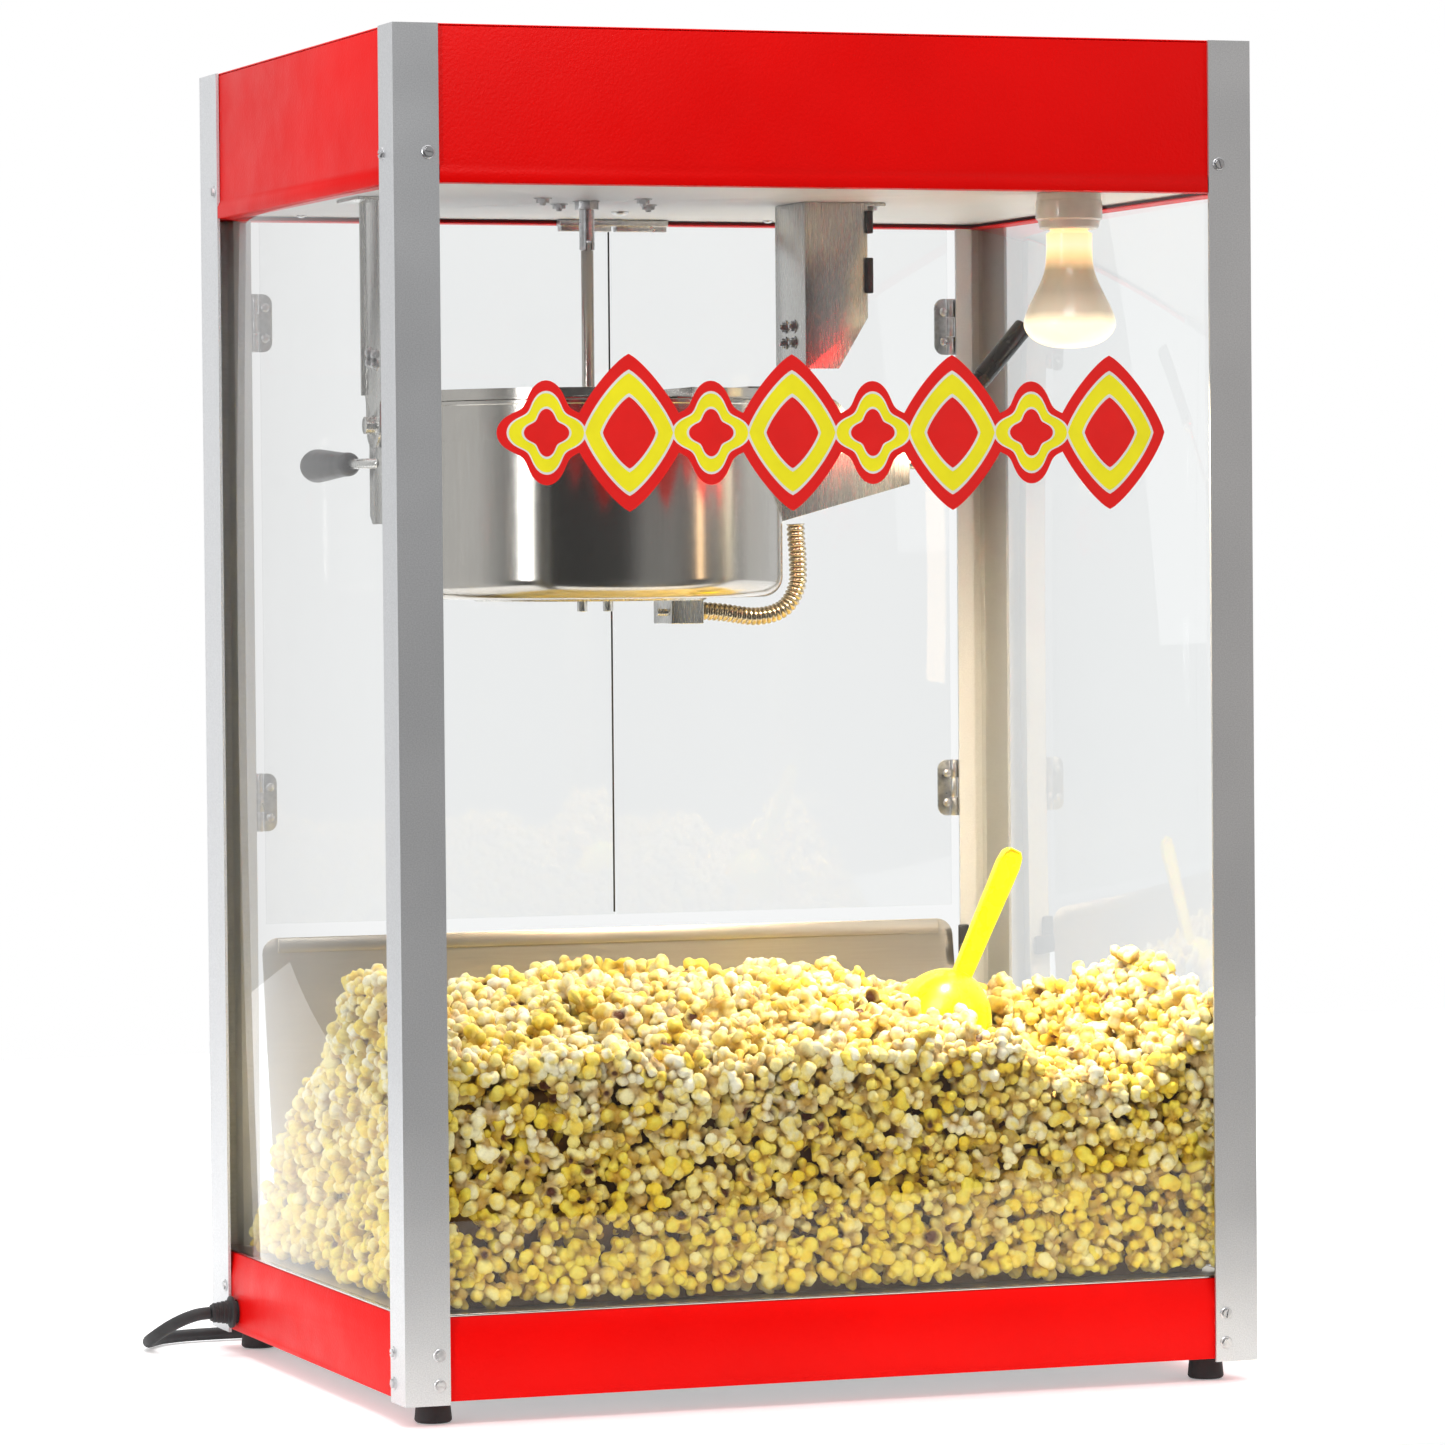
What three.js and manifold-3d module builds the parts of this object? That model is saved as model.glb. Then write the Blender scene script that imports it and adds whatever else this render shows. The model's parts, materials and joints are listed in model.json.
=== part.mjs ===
// Countertop popcorn maker: glazed cabinet, tilting kettle with stirrer and lids, corn deck,
// kernel drawer, rear doors, drop-down rear gate, lamp, switches, scoop and popcorn.
// Millimetres, +Z up, +X to the right, front facing -Y, origin under the middle of the base.
import * as THREE from 'three';
import { mergeVertices } from 'three/addons/utils/BufferGeometryUtils.js';
import Module from 'manifold-3d';

const wasm = await Module();
wasm.setup();

// ---- driving dimensions ----
const WIDTH = 610;
const DEPTH = 480;
const HEIGHT = 916;
const FOOT_HEIGHT = 14;
const BASE_TOP = 71; // top of the red base
const BASE_BEND = 55; // fold line round the base
const HEADER_BOTTOM = 812.5;
const CEILING = 816; // underside of the ceiling plate
const SHEET = 1.2; // folded sheet thickness
const POST_WALL = 2;
const GAP = 0.3; // air between touching pieces
const SKIN_INSET = POST_WALL + GAP; // how far the red panels lie behind the posts' outer faces
const FRONT_POST = { across: 31, along: 33 };
const REAR_POST = { across: 20.5, along: 45 };
const JAMB = { inner: 273.6, outer: 284.5, front: 219, wall: 2 }; // the rear posts' stepped door frame
const SCREW = { inset: 7.5, heights: [832, 47, 27], radius: 4.6, head: 2.2 };
const GLASS = 4;
const GLASS_BOTTOM = BASE_TOP + 2.1;
const DOOR = { thickness: 3, bottom: 305, top: 812, hingeX: 270.4, hingeY: 222.8, meet: 0.8 };
const HINGE = { barrel: 2.8, pin: 1.3, height: 42, leaf: 13, heights: [393, 739] };
const GATE = { half: 269, pivotY: 192, pivotZ: 77, length: 222, lean: 9, fold: 11 };
const DRAWER = { half: 120, front: -130, bottom: 20.5, top: 62 };
const KETTLE = { x: -92, pivotZ: 660, radius: 134.5, wall: 2, bottom: 539.5, rim: 675, round: 14 };
const COLLAR = { outer: 137.3, bottom: 648 };
const LID = { top: 683, hingeX: 16, hingeZ: 681, pin: 1.4, barrel: 3 };
const ARM = { right: 59, left: -247, wall: 2, halfWidth: 30, hub: 16, bottom: 699, leftBottom: 681 };
const TRUNNION = 6;
const STUD = { endX: -252.6, endY: 39, drop: 26, radius: 3.6 };
const LEVER = { housingEnd: 143, footX: 149, footZ: 633, tipX: 236, tipZ: 731, y: -4 };
const SHAFT = { radius: 4.4, joint: 782, tongue: 5 };
const COUPLING = { radius: 5.3, nut: 8.5, slot: 3.8 };
const LAMP = { x: 205, y: -159, socket: 23, socketBottom: 799, bulbBottom: 709, bulb: 31.7 };
const SWITCH = { z: 866, spacing: 46, firstX: 150, width: 19, height: 27, tilt: 10 };
const CORD = { radius: 4.5, exitX: -322, y: 183, z: 30, coilX: -205, coilY: 322, coilRadius: 50 };
const SCOOP = { x: 168, y: 4, z: 227, lean: 25, wall: 2.2 };

const half = { x: WIDTH / 2, y: DEPTH / 2 };

// ---- materials ----
function paint(color, roughness, metalness = 0, extra = {}) {
  return new THREE.MeshStandardMaterial({ color, roughness, metalness, ...extra });
}
const red = paint(0xd4160f, 0.45);
const aluminium = paint(0xb9bcc0, 0.35, 1);
const stainless = paint(0xb4b0aa, 0.3, 1);
const zinc = paint(0x9a9da1, 0.45, 1);
const white = paint(0xe6e6e4, 0.5);
const rubber = paint(0x141414, 0.85);
const blackPlastic = paint(0x1b1b1c, 0.5);
const clear = paint(0xdfe7ea, 0.03, 0, { transparent: true, opacity: 0.25 });
const porcelain = paint(0xe9e4da, 0.25);
const bulbGlass = paint(0xfff3dc, 0.2);
const corn = paint(0xf2dc7a, 0.9);
const yellowPlastic = paint(0xf7e11a, 0.35);

// ---- shaping helpers ----
function toSolid(geometry) {
  const plain = geometry.clone();
  plain.deleteAttribute('normal');
  plain.deleteAttribute('uv');
  const merged = mergeVertices(plain, 1e-4);
  const at = merged.attributes.position.array;
  const corners = Uint32Array.from(merged.index.array);
  if (signedVolume(at, corners) < 0) {
    for (let i = 0; i < corners.length; i += 3) {
      [corners[i + 1], corners[i + 2]] = [corners[i + 2], corners[i + 1]];
    }
  }
  const mesh = new wasm.Mesh({ numProp: 3, vertProperties: Float32Array.from(at), triVerts: corners });
  return new wasm.Manifold(mesh);
}

function signedVolume(at, corners) {
  const [a, b, c] = [new THREE.Vector3(), new THREE.Vector3(), new THREE.Vector3()];
  let volume = 0;
  for (let i = 0; i < corners.length; i += 3) {
    a.fromArray(at, 3 * corners[i]);
    b.fromArray(at, 3 * corners[i + 1]);
    c.fromArray(at, 3 * corners[i + 2]);
    volume += a.dot(b.cross(c));
  }
  return volume;
}

function toGeometry(solid) {
  const mesh = solid.getMesh();
  const geometry = new THREE.BufferGeometry();
  geometry.setAttribute('position', new THREE.BufferAttribute(mesh.vertProperties, 3));
  geometry.setIndex(new THREE.BufferAttribute(mesh.triVerts, 1));
  return geometry;
}

function join(...shapes) {
  return toGeometry(shapes.map(toSolid).reduce((a, b) => a.add(b)));
}

function cut(shape, ...tools) {
  return toGeometry(tools.map(toSolid).reduce((a, b) => a.subtract(b), toSolid(shape)));
}

function slab([x0, x1], [y0, y1], [z0, z1]) {
  const geometry = new THREE.BoxGeometry(x1 - x0, y1 - y0, z1 - z0);
  return geometry.translate((x0 + x1) / 2, (y0 + y1) / 2, (z0 + z1) / 2);
}

function outline(points) {
  return new THREE.Shape(points.map(([a, b]) => new THREE.Vector2(a, b)));
}

// An outline of (x, y) carried up from z0 to z1.
function prismZ(points, z0, z1) {
  const options = { depth: z1 - z0, bevelEnabled: false, curveSegments: 6 };
  return new THREE.ExtrudeGeometry(outline(points), options).translate(0, 0, z0);
}

// An outline of (y, z) carried along X from x0 to x1.
function prismX(points, x0, x1) {
  return prismZ(points, 0, x1 - x0).rotateX(Math.PI / 2).rotateZ(Math.PI / 2).translate(x0, 0, 0);
}

// An outline of (x, z) carried along Y from y0 to y1.
function prismY(points, y0, y1) {
  return prismZ(points, 0, y1 - y0).rotateX(Math.PI / 2).translate(0, y1, 0);
}

// A profile of (radius, z) turned about a vertical axis at (x, y).
function turned(profile, x = 0, y = 0, sides = 32) {
  const points = profile.map(([r, z]) => new THREE.Vector2(r, z));
  return new THREE.LatheGeometry(points, sides).rotateX(Math.PI / 2).translate(x, y, 0);
}

// A profile of (radius, z) with a hole through the middle, closed on itself.
function turnedRing(profile, x = 0, y = 0, sides = 32) {
  return turned([...profile, profile[0]], x, y, sides);
}

// A profile of (inset, z) carried round the cabinet's rectangle with mitred corners.
function rectangleRing(profile) {
  const corner = Math.SQRT2;
  const reach = (inset) => (half.y - inset) * corner;
  const points = [...profile, profile[0]].map(([inset, z]) => new THREE.Vector2(reach(inset), z));
  const ring = new THREE.LatheGeometry(points, 4, Math.PI / 4).rotateX(Math.PI / 2);
  const at = ring.attributes.position;
  for (let i = 0; i < at.count; i += 1) {
    at.setX(i, at.getX(i) + Math.sign(at.getX(i)) * (half.x - half.y));
  }
  return ring;
}

// A round bar, or a tapered one, between two points.
function bar(from, to, radius, endRadius = radius, sides = 16) {
  const [a, b] = [new THREE.Vector3(...from), new THREE.Vector3(...to)];
  const along = b.clone().sub(a);
  const geometry = new THREE.CylinderGeometry(endRadius, radius, along.length(), sides);
  const turn = new THREE.Quaternion().setFromUnitVectors(new THREE.Vector3(0, 1, 0), along.normalize());
  geometry.applyQuaternion(turn);
  const middle = a.add(b).multiplyScalar(0.5);
  return geometry.translate(middle.x, middle.y, middle.z);
}

function circle(radius, sides, x = 0, y = 0) {
  const shape = [];
  for (let i = 0; i < sides; i += 1) {
    const turn = (2 * Math.PI * i) / sides;
    shape.push([x + radius * Math.cos(turn), y + radius * Math.sin(turn)]);
  }
  return shape;
}

// A round tube along a smooth curve through the points.
function hose(points, radius, sides, steps) {
  const path = new THREE.CatmullRomCurve3(points.map((p) => new THREE.Vector3(...p)), false, 'centripetal');
  const options = { extrudePath: path, steps, bevelEnabled: false };
  return new THREE.ExtrudeGeometry(outline(circle(radius, sides)), options);
}

// A quarter or half circle of points between two angles in degrees.
function arc(cx, cy, radius, from, to, steps) {
  const points = [];
  for (let i = 0; i <= steps; i += 1) {
    const turn = THREE.MathUtils.degToRad(from + ((to - from) * i) / steps);
    points.push([cx + radius * Math.cos(turn), cy + radius * Math.sin(turn)]);
  }
  return points;
}

const machine = new THREE.Group();

function piece(name, geometry, material) {
  const mesh = new THREE.Mesh(geometry, material);
  mesh.name = name;
  machine.add(mesh);
  return mesh;
}

// ---- cabinet frame ----
function cornerPost({ across, along }, sideX, sideY) {
  const shape = [
    [0, 0], [across, 0], [across, POST_WALL], [POST_WALL, POST_WALL], [POST_WALL, along], [0, along],
  ].map(([u, v]) => [sideX * (half.x - u), sideY * (half.y - v)]);
  return join(prismZ(shape, FOOT_HEIGHT, HEIGHT), ...postScrews({ across, along }, sideX, sideY));
}

// One screw at the header and two at the base through each flange, near its inner edge.
function postScrews({ across, along }, sideX, sideY) {
  const { inset, heights, radius, head } = SCREW;
  const [face, side] = [half.y - 1, half.x - 1];
  return heights.flatMap((z) => {
    const x = sideX * (half.x - across + inset);
    const y = sideY * (half.y - along + inset);
    return [
      bar([x, sideY * face, z], [x, sideY * (half.y + head), z], radius, undefined, 10),
      bar([sideX * side, y, z], [sideX * (half.x + head), y, z], radius, undefined, 10),
    ];
  });
}

// A rear post has a stepped strip along the window opening that carries the door's hinges.
function rearPost(sideX) {
  const { inner, outer, front, wall } = JAMB;
  const rear = half.y - POST_WALL;
  const step = [
    [outer, rear + 1], [outer, front + wall], [inner, front + wall], [inner, front],
    [outer + wall, front], [outer + wall, rear + 1],
  ].map(([x, y]) => [sideX * x, y]);
  const strip = prismZ(step, GLASS_BOTTOM, HEADER_BOTTOM - GAP);
  return join(cornerPost(REAR_POST, sideX, 1), strip);
}

function rubberFoot(x, y) {
  const top = FOOT_HEIGHT + 1.7;
  return turned([[0, 0], [11.5, 0], [12.5, 1.5], [11, top], [0, top]], x, y, 20);
}

function baseSkirt() {
  const bottom = FOOT_HEIGHT + 2;
  const lean = 2.4;
  const outer = SKIN_INSET;
  const inner = SKIN_INSET + SHEET;
  const ring = rectangleRing([
    [outer, bottom], [outer, BASE_BEND], [outer + lean, BASE_TOP], [outer + 28, BASE_TOP],
    [outer + 28, BASE_TOP - SHEET], [inner + lean, BASE_TOP - SHEET], [inner, BASE_BEND],
    [inner, bottom + SHEET], [outer + 14, bottom + SHEET], [outer + 14, bottom],
  ]);
  const wayHalf = DRAWER.half + 2;
  const wayHeight = [DRAWER.bottom - 1.5, DRAWER.top + 3];
  const drawerWay = slab([-wayHalf, wayHalf], [half.y - 40, half.y + 1], wayHeight);
  const glandHole = bar([-half.x - 2, CORD.y, CORD.z], [-half.x + 12, CORD.y, CORD.z], 8.4);
  return cut(ring, drawerWay, glandHole);
}

function baseFloor() {
  const z = FOOT_HEIGHT + 2 + SHEET + GAP;
  const x = half.x - SKIN_INSET - SHEET - 1;
  const y = half.y - SKIN_INSET - SHEET - 1;
  return slab([-x, x], [-y, y], [z, z + SHEET]);
}

function baseTrim() {
  const z = BASE_TOP + GAP;
  return rectangleRing([[4.9, z], [4.9, z + 1.5], [9, z + 1.5], [9, z]]);
}

function cornDeck() {
  const [x, y] = [half.x - 9.4, half.y - 9.4];
  const z = BASE_TOP + GAP;
  const plate = slab([-x, x], [-y, y], [z, z + SHEET]);
  const slots = [];
  for (let row = 0; row < 5; row += 1) {
    for (let column = 0; column < 6; column += 1) {
      const cx = (column - 2.5) * 36;
      const cy = -100 + row * 50;
      slots.push(slab([cx - 4, cx + 4], [cy - 14, cy + 14], [z - 1, z + 3]));
    }
  }
  return cut(plate, ...slots);
}

function kernelDrawer() {
  const rear = half.y - GAP;
  const wall = 1.5;
  const tray = cut(
    slab([-DRAWER.half, DRAWER.half], [DRAWER.front, rear - 3], [DRAWER.bottom, DRAWER.top]),
    slab(
      [-DRAWER.half + wall, DRAWER.half - wall],
      [DRAWER.front + wall, rear - 3 - wall],
      [DRAWER.bottom + wall, DRAWER.top + 1],
    ),
  );
  const faceHalf = DRAWER.half + 1;
  const face = slab([-faceHalf, faceHalf], [rear - 3, rear - 1.6], [DRAWER.bottom - 0.5, DRAWER.top + 2]);
  const lip = [[rear - 2, 50], [rear, 50], [rear, 44], [rear - 1, 44], [rear - 1, 48], [rear - 2, 48]];
  const pull = prismX(lip, -45, 45);
  return join(tray, face, pull);
}

// ---- header ----
function headerShell() {
  const outer = SKIN_INSET;
  const inner = SKIN_INSET + SHEET;
  const top = HEIGHT - SHEET - GAP;
  const ring = rectangleRing([
    [outer, HEADER_BOTTOM], [outer, top], [inner, top], [inner, HEADER_BOTTOM + SHEET],
    [outer + 14, HEADER_BOTTOM + SHEET], [outer + 14, HEADER_BOTTOM],
  ]);
  // a lip stands out along the lower edge, between the posts
  const lip = (side) => [
    [side * (outer + 0.4), HEADER_BOTTOM], [0, HEADER_BOTTOM], [0, HEADER_BOTTOM + 8],
    [side * (outer + 0.4), HEADER_BOTTOM + 14],
  ];
  const frontHalf = half.x - FRONT_POST.across - 0.5;
  const rearHalf = half.x - REAR_POST.across - 0.5;
  const sideSpan = [-half.y + FRONT_POST.along + 0.5, half.y - REAR_POST.along - 0.5];
  const front = prismX(lip(1), -frontHalf, frontHalf).translate(0, -half.y, 0);
  const rear = prismX(lip(-1), -rearHalf, rearHalf).translate(0, half.y, 0);
  const left = prismY(lip(1), ...sideSpan).translate(-half.x, 0, 0);
  const right = prismY(lip(-1), ...sideSpan).translate(half.x, 0, 0);
  const window = slab(switchWindow(), [half.y - 10, half.y + 1], [SWITCH.z - 17, SWITCH.z + 17]);
  return cut(join(ring, front, rear, left, right), window);
}

function switchWindow() {
  const reach = SWITCH.spacing + 16;
  return [SWITCH.firstX - reach, SWITCH.firstX + reach];
}

function topCover() {
  const inset = SKIN_INSET;
  const [x, y] = [half.x - inset, half.y - inset];
  const plate = slab([-x, x], [-y, y], [HEIGHT - SHEET, HEIGHT]);
  const rimOuter = inset + SHEET + GAP;
  const low = HEIGHT - 12;
  const high = HEIGHT - SHEET / 2;
  const rimInner = rimOuter + SHEET;
  const rim = rectangleRing([[rimOuter, low], [rimOuter, high], [rimInner, high], [rimInner, low]]);
  return join(plate, rim);
}

function ceilingPlate() {
  const inset = SKIN_INSET + SHEET + GAP;
  const [x, y] = [half.x - inset, half.y - inset];
  const plate = slab([-x, x], [-y, y], [CEILING, CEILING + SHEET]);
  const hole = (x, y, radius) => bar([x, y, CEILING - 2], [x, y, CEILING + 4], radius, undefined, 20);
  const drive = hole(KETTLE.x, 0, COUPLING.nut + 1.2);
  const wiring = hole(LAMP.x, LAMP.y, 8);
  return cut(plate, drive, wiring);
}

function switchPlate() {
  const [left, right] = switchWindow();
  const rear = half.y - 1;
  const plate = slab([left - 5, right + 5], [rear - 1, rear], [SWITCH.z - 21, SWITCH.z + 21]);
  const box = slab([left + 2, right - 2], [rear - 26, rear - 0.5], [SWITCH.z - 16, SWITCH.z + 16]);
  const cells = switchCentres().map((x) => slab(
    [x - SWITCH.width / 2 - 0.5, x + SWITCH.width / 2 + 0.5],
    [rear - 20, rear + 1],
    [SWITCH.z - SWITCH.height / 2 - 0.8, SWITCH.z + SWITCH.height / 2 + 0.8],
  ));
  return cut(join(plate, box), ...cells);
}

function switchCentres() {
  return [-1, 0, 1].map((step) => SWITCH.firstX + step * SWITCH.spacing);
}

// A rocker with its two faces meeting in a shallow valley, tipped to its off position.
function rocker(x) {
  const pivotY = half.y - 9.6;
  const reach = SWITCH.height / 2 - 0.4;
  const slope = Math.tan(THREE.MathUtils.degToRad(SWITCH.tilt));
  const valley = 4.6;
  const rise = valley + reach * slope;
  const sides = [[-6, -4], [-6, 4], [0, reach], [rise, reach], [valley, 0], [rise, -reach], [0, -reach]];
  const body = prismX(sides, -SWITCH.width / 2, SWITCH.width / 2);
  return body.rotateX(THREE.MathUtils.degToRad(-SWITCH.tilt)).translate(x, pivotY, SWITCH.z);
}

// ---- glazing ----
function frontGlass() {
  const y = -half.y + SKIN_INSET + GAP;
  const x = half.x - SKIN_INSET - GLASS - 1.2;
  return slab([-x, x], [y, y + GLASS], [GLASS_BOTTOM, HEADER_BOTTOM - GAP]);
}

function sideGlass(side) {
  const outer = half.x - SKIN_INSET - GAP;
  const x = side > 0 ? [outer - GLASS, outer] : [-outer, -outer + GLASS];
  return slab(x, [-half.y + SKIN_INSET + GAP, half.y - 5], [GLASS_BOTTOM, HEADER_BOTTOM - GAP]);
}

function door(side) {
  const rear = DOOR.hingeY - 0.8;
  const ends = [side * DOOR.meet, side * (DOOR.hingeX - 3.5)].sort((a, b) => a - b);
  return slab(ends, [rear - DOOR.thickness, rear], [DOOR.bottom, DOOR.top]);
}

// The leaf screwed behind the post's strip, with two barrels and the pin through them.
function hingeFrameLeaf(side, z) {
  const { hingeX, hingeY: y } = DOOR;
  const [low, high] = [z - HINGE.height / 2, z + HINGE.height / 2];
  const third = HINGE.height / 3;
  const x = [side * (hingeX + 1), side * (JAMB.outer - GAP)].sort((a, b) => a - b);
  const middle = [low + third - GAP, high - third + GAP];
  const leaf = cut(
    slab(x, [y - 0.5, y + 0.7], [low, high]),
    slab([side * hingeX - 3.4, side * hingeX + 3.4], [y - 4, y + 4], middle),
  );
  const barrel = (z0, z1) => bar([side * hingeX, y, z0], [side * hingeX, y, z1], HINGE.barrel);
  const pin = bar([side * hingeX, y, low + 1], [side * hingeX, y, high - 1], HINGE.pin, undefined, 12);
  return join(leaf, barrel(low, low + third - GAP), barrel(high - third + GAP, high), pin);
}

// The leaf on the door with the middle barrel, rounded towards the door.
function hingeDoorLeaf(side, z) {
  const { hingeX, hingeY: y } = DOOR;
  const tall = HINGE.height / 2;
  const third = HINGE.height / 6;
  const far = hingeX - HINGE.leaf;
  const near = hingeX - 1;
  const round = 7;
  const shape = [
    [side * near, z - tall], [side * near, z + tall],
    ...arc(far + round, z + tall - round, round, 90, 180, 4).map(([a, b]) => [side * a, b]),
    ...arc(far + round, z - tall + round, round, 180, 270, 4).map(([a, b]) => [side * a, b]),
  ];
  const x = side * hingeX;
  const leaf = prismY(shape, y - 0.5, y + 0.7);
  const clearance = (z0, z1) => slab([x - 3.2, x + 3.2], [y - 4, y + 4], [z0, z1]);
  const barrel = bar([x, y, z - third], [x, y, z + third], HINGE.barrel);
  const bore = bar([x, y, z - tall], [x, y, z + tall], HINGE.pin + GAP, undefined, 12);
  const above = clearance(z + third, z + tall + 1);
  const below = clearance(z - tall - 1, z - third);
  return cut(join(leaf, barrel), above, below, bore);
}

function doorCatch() {
  const rear = DOOR.hingeY - DOOR.thickness - 1.2;
  const strip = slab([-42, 42], [rear - 9, rear], [DOOR.top - 1, CEILING - GAP]);
  const block = (x0, x1) => slab([x0, x1], [rear - 8, rear], [DOOR.top - 5, DOOR.top]);
  return join(strip, block(-41, -2), block(2, 41));
}

// ---- rear gate ----
function rearGate() {
  const { half: wide, length, fold } = GATE;
  const round = 12;
  const shape = [
    [-wide, 3.5], [wide, 3.5],
    ...arc(wide - round, length - round, round, 0, 90, 5),
    ...arc(-wide + round, length - round, round, 90, 180, 5),
  ];
  const sheet = prismY(shape, -0.7, 0.7);
  const hem = slab([-wide + round, wide - round], [-2.2, 0], [length - fold, length - 1]);
  const roll = bar([-wide, 0, 1.8], [wide, 0, 1.8], 2.6, undefined, 12);
  const pin = bar([-wide - 8, 0, 1.8], [wide + 8, 0, 1.8], 1.6, undefined, 12);
  return join(sheet, hem, roll, pin)
    .translate(0, 0, -1.8)
    .rotateX(THREE.MathUtils.degToRad(-GATE.lean))
    .translate(0, GATE.pivotY, GATE.pivotZ);
}

// A block on the right post's strip with a finger beside the gate's edge.
function gateCatch() {
  const rear = JAMB.front - GAP;
  return join(
    slab([GATE.half + 2, JAMB.outer], [rear - 8, rear], [262, 276]),
    slab([GATE.half + 2, GATE.half + 10], [rear - 4, rear], [266, 290]),
  );
}

// ---- kettle arms ----
// A flat hanger with a round hub about the pivot; (y, z) outline.
function hangerOutline(frontY, rearY, bottom, shoulder) {
  const { hub } = ARM;
  return [
    [frontY, CEILING - GAP], [frontY, bottom], [-hub, bottom - shoulder],
    ...arc(0, KETTLE.pivotZ, hub, 180, 360, 12),
    [hub, bottom - shoulder], [rearY, bottom], [rearY, CEILING - GAP],
  ];
}

function armHole(x0, x1) {
  return bar([x0, 0, KETTLE.pivotZ], [x1, 0, KETTLE.pivotZ], TRUNNION + 0.4, undefined, 20);
}

function rightArm() {
  const { right: x, wall, halfWidth: y, bottom } = ARM;
  const far = x + 47;
  const top = CEILING - GAP;
  const web = prismX(hangerOutline(-y, y, bottom, 14), x, x + wall);
  const cheek = [[x, bottom], [far - 22, bottom], [far, bottom + 36], [far, top], [x, top]];
  const flange = slab([x, far + 14], [-y, y], [top - 2.2, top]);
  const arm = join(web, prismY(cheek, -y, -y + wall), prismY(cheek, y - wall, y), flange);
  return cut(arm, armHole(x - 1, x + wall + 1));
}

function leftArm() {
  const { left: x, wall, halfWidth: y, leftBottom: bottom } = ARM;
  const rearY = 18;
  const top = CEILING - GAP;
  const far = x - 5;
  const web = prismX(hangerOutline(-y, rearY, bottom, 6), x - wall, x);
  const cheek = (y0) => slab([far, x], [y0, y0 + wall], [bottom, top]);
  const flange = slab([far - 16, x], [-y, rearY], [top - 2.2, top]);
  return cut(join(web, cheek(-y), cheek(rearY - wall), flange), armHole(x - wall - 1, x + 1));
}

// ---- kettle ----
function kettleShell() {
  const { radius, wall, bottom, rim, round } = KETTLE;
  const outside = arc(radius - round, bottom + round, round, 270, 360, 5);
  const inside = arc(radius - round, bottom + round, round - wall, 360, 270, 5);
  return turned(
    [[0, bottom], ...outside, [radius, rim], [radius - wall, rim], ...inside, [0, bottom + wall]],
    KETTLE.x, 0, 48,
  );
}

function kettleCollar() {
  const { outer, bottom } = COLLAR;
  const inner = KETTLE.radius + GAP;
  const top = KETTLE.rim;
  return turnedRing([
    [inner, bottom], [outer - 0.6, bottom], [outer - 0.6, top - 3], [outer, top - 2.4],
    [outer, top], [inner, top],
  ], KETTLE.x, 0, 48);
}

// The cover over the heating element's terminals, with its wiring box and terminal nuts.
function kettleBaseCover() {
  const top = KETTLE.bottom - GAP;
  const plate = turned([[0, top], [82, top], [80, top - 1.6], [0, top - 1.6]], KETTLE.x, 0, 32);
  const wiringBox = slab([-39, -15], [-20, 18], [521, top - 1]);
  const clampBolt = bar([-47, -12, 529], [-38, -12, 529], 2.6, undefined, 8);
  const nuts = [-102, -83].map((x) => bar([x, -12, top - 9], [x, -12, top - 1], 3.8, undefined, 6));
  return join(plate, wiringBox, clampBolt, ...nuts);
}

// The cross bar over the kettle mouth that carries both lid pins.
function lidBar() {
  const { hingeX, hingeZ, pin } = LID;
  const z = KETTLE.rim + GAP;
  const span = Math.sqrt(KETTLE.radius ** 2 - 13.5 ** 2) - 1;
  const strap = cut(
    slab([KETTLE.x - 13.2, KETTLE.x + 13.2], [-span, span], [z, z + 2.4]),
    bar([KETTLE.x, 0, z - 2], [KETTLE.x, 0, z + 6], SHAFT.radius + 1.4, undefined, 20),
  );
  const parts = [strap];
  for (const side of [-1, 1]) {
    const x = KETTLE.x + side * hingeX;
    parts.push(bar([x, -62, hingeZ], [x, 62, hingeZ], pin, undefined, 12));
    for (const y of [-60, 60]) {
      const ends = [KETTLE.x + side * 11, x + side * 1.6].sort((a, b) => a - b);
      parts.push(slab(ends, [y - 2, y + 2], [z + 1, hingeZ + 2]));
    }
  }
  return join(...parts);
}

// A half-moon lid with two barrels on its straight edge and a lifting tab on its rim.
function lid(side) {
  const { hingeX, hingeZ, pin, barrel, top } = LID;
  const radius = KETTLE.radius + 1;
  const edge = hingeX + 2.4;
  const swing = THREE.MathUtils.radToDeg(Math.acos(edge / radius));
  const moon = arc(0, 0, radius, -swing, swing, 20).map(([x, y]) => [KETTLE.x + side * x, side * y]);
  const bottom = KETTLE.rim + GAP;
  const plate = prismZ(moon, bottom, bottom + 1.8);
  const inner = arc(0, 0, radius - 1.5, -swing + 5, swing - 5, 20)
    .map(([x, y]) => [KETTLE.x + side * (x + 1), side * y]);
  const crown = prismZ(inner, bottom + 1, top);
  const axis = KETTLE.x + side * hingeX;
  const rim = KETTLE.x + side * radius;
  const tabEnds = [rim - side * 22, rim - side * 4].sort((a, b) => a - b);
  const tab = slab(tabEnds, [-14, 14], [top - 1, top + 4]);
  const parts = [plate, crown, tab];
  for (const y of [-38, 38]) {
    parts.push(bar([axis, y - 14, hingeZ], [axis, y + 14, hingeZ], barrel, undefined, 12));
    const ends = [axis, axis + side * 9].sort((a, b) => a - b);
    parts.push(slab(ends, [y - 14, y + 14], [hingeZ - 4.2, hingeZ - 1.2]));
  }
  const bore = bar([axis, -60, hingeZ], [axis, 60, hingeZ], pin + GAP, undefined, 12);
  return cut(join(...parts), bore);
}

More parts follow.
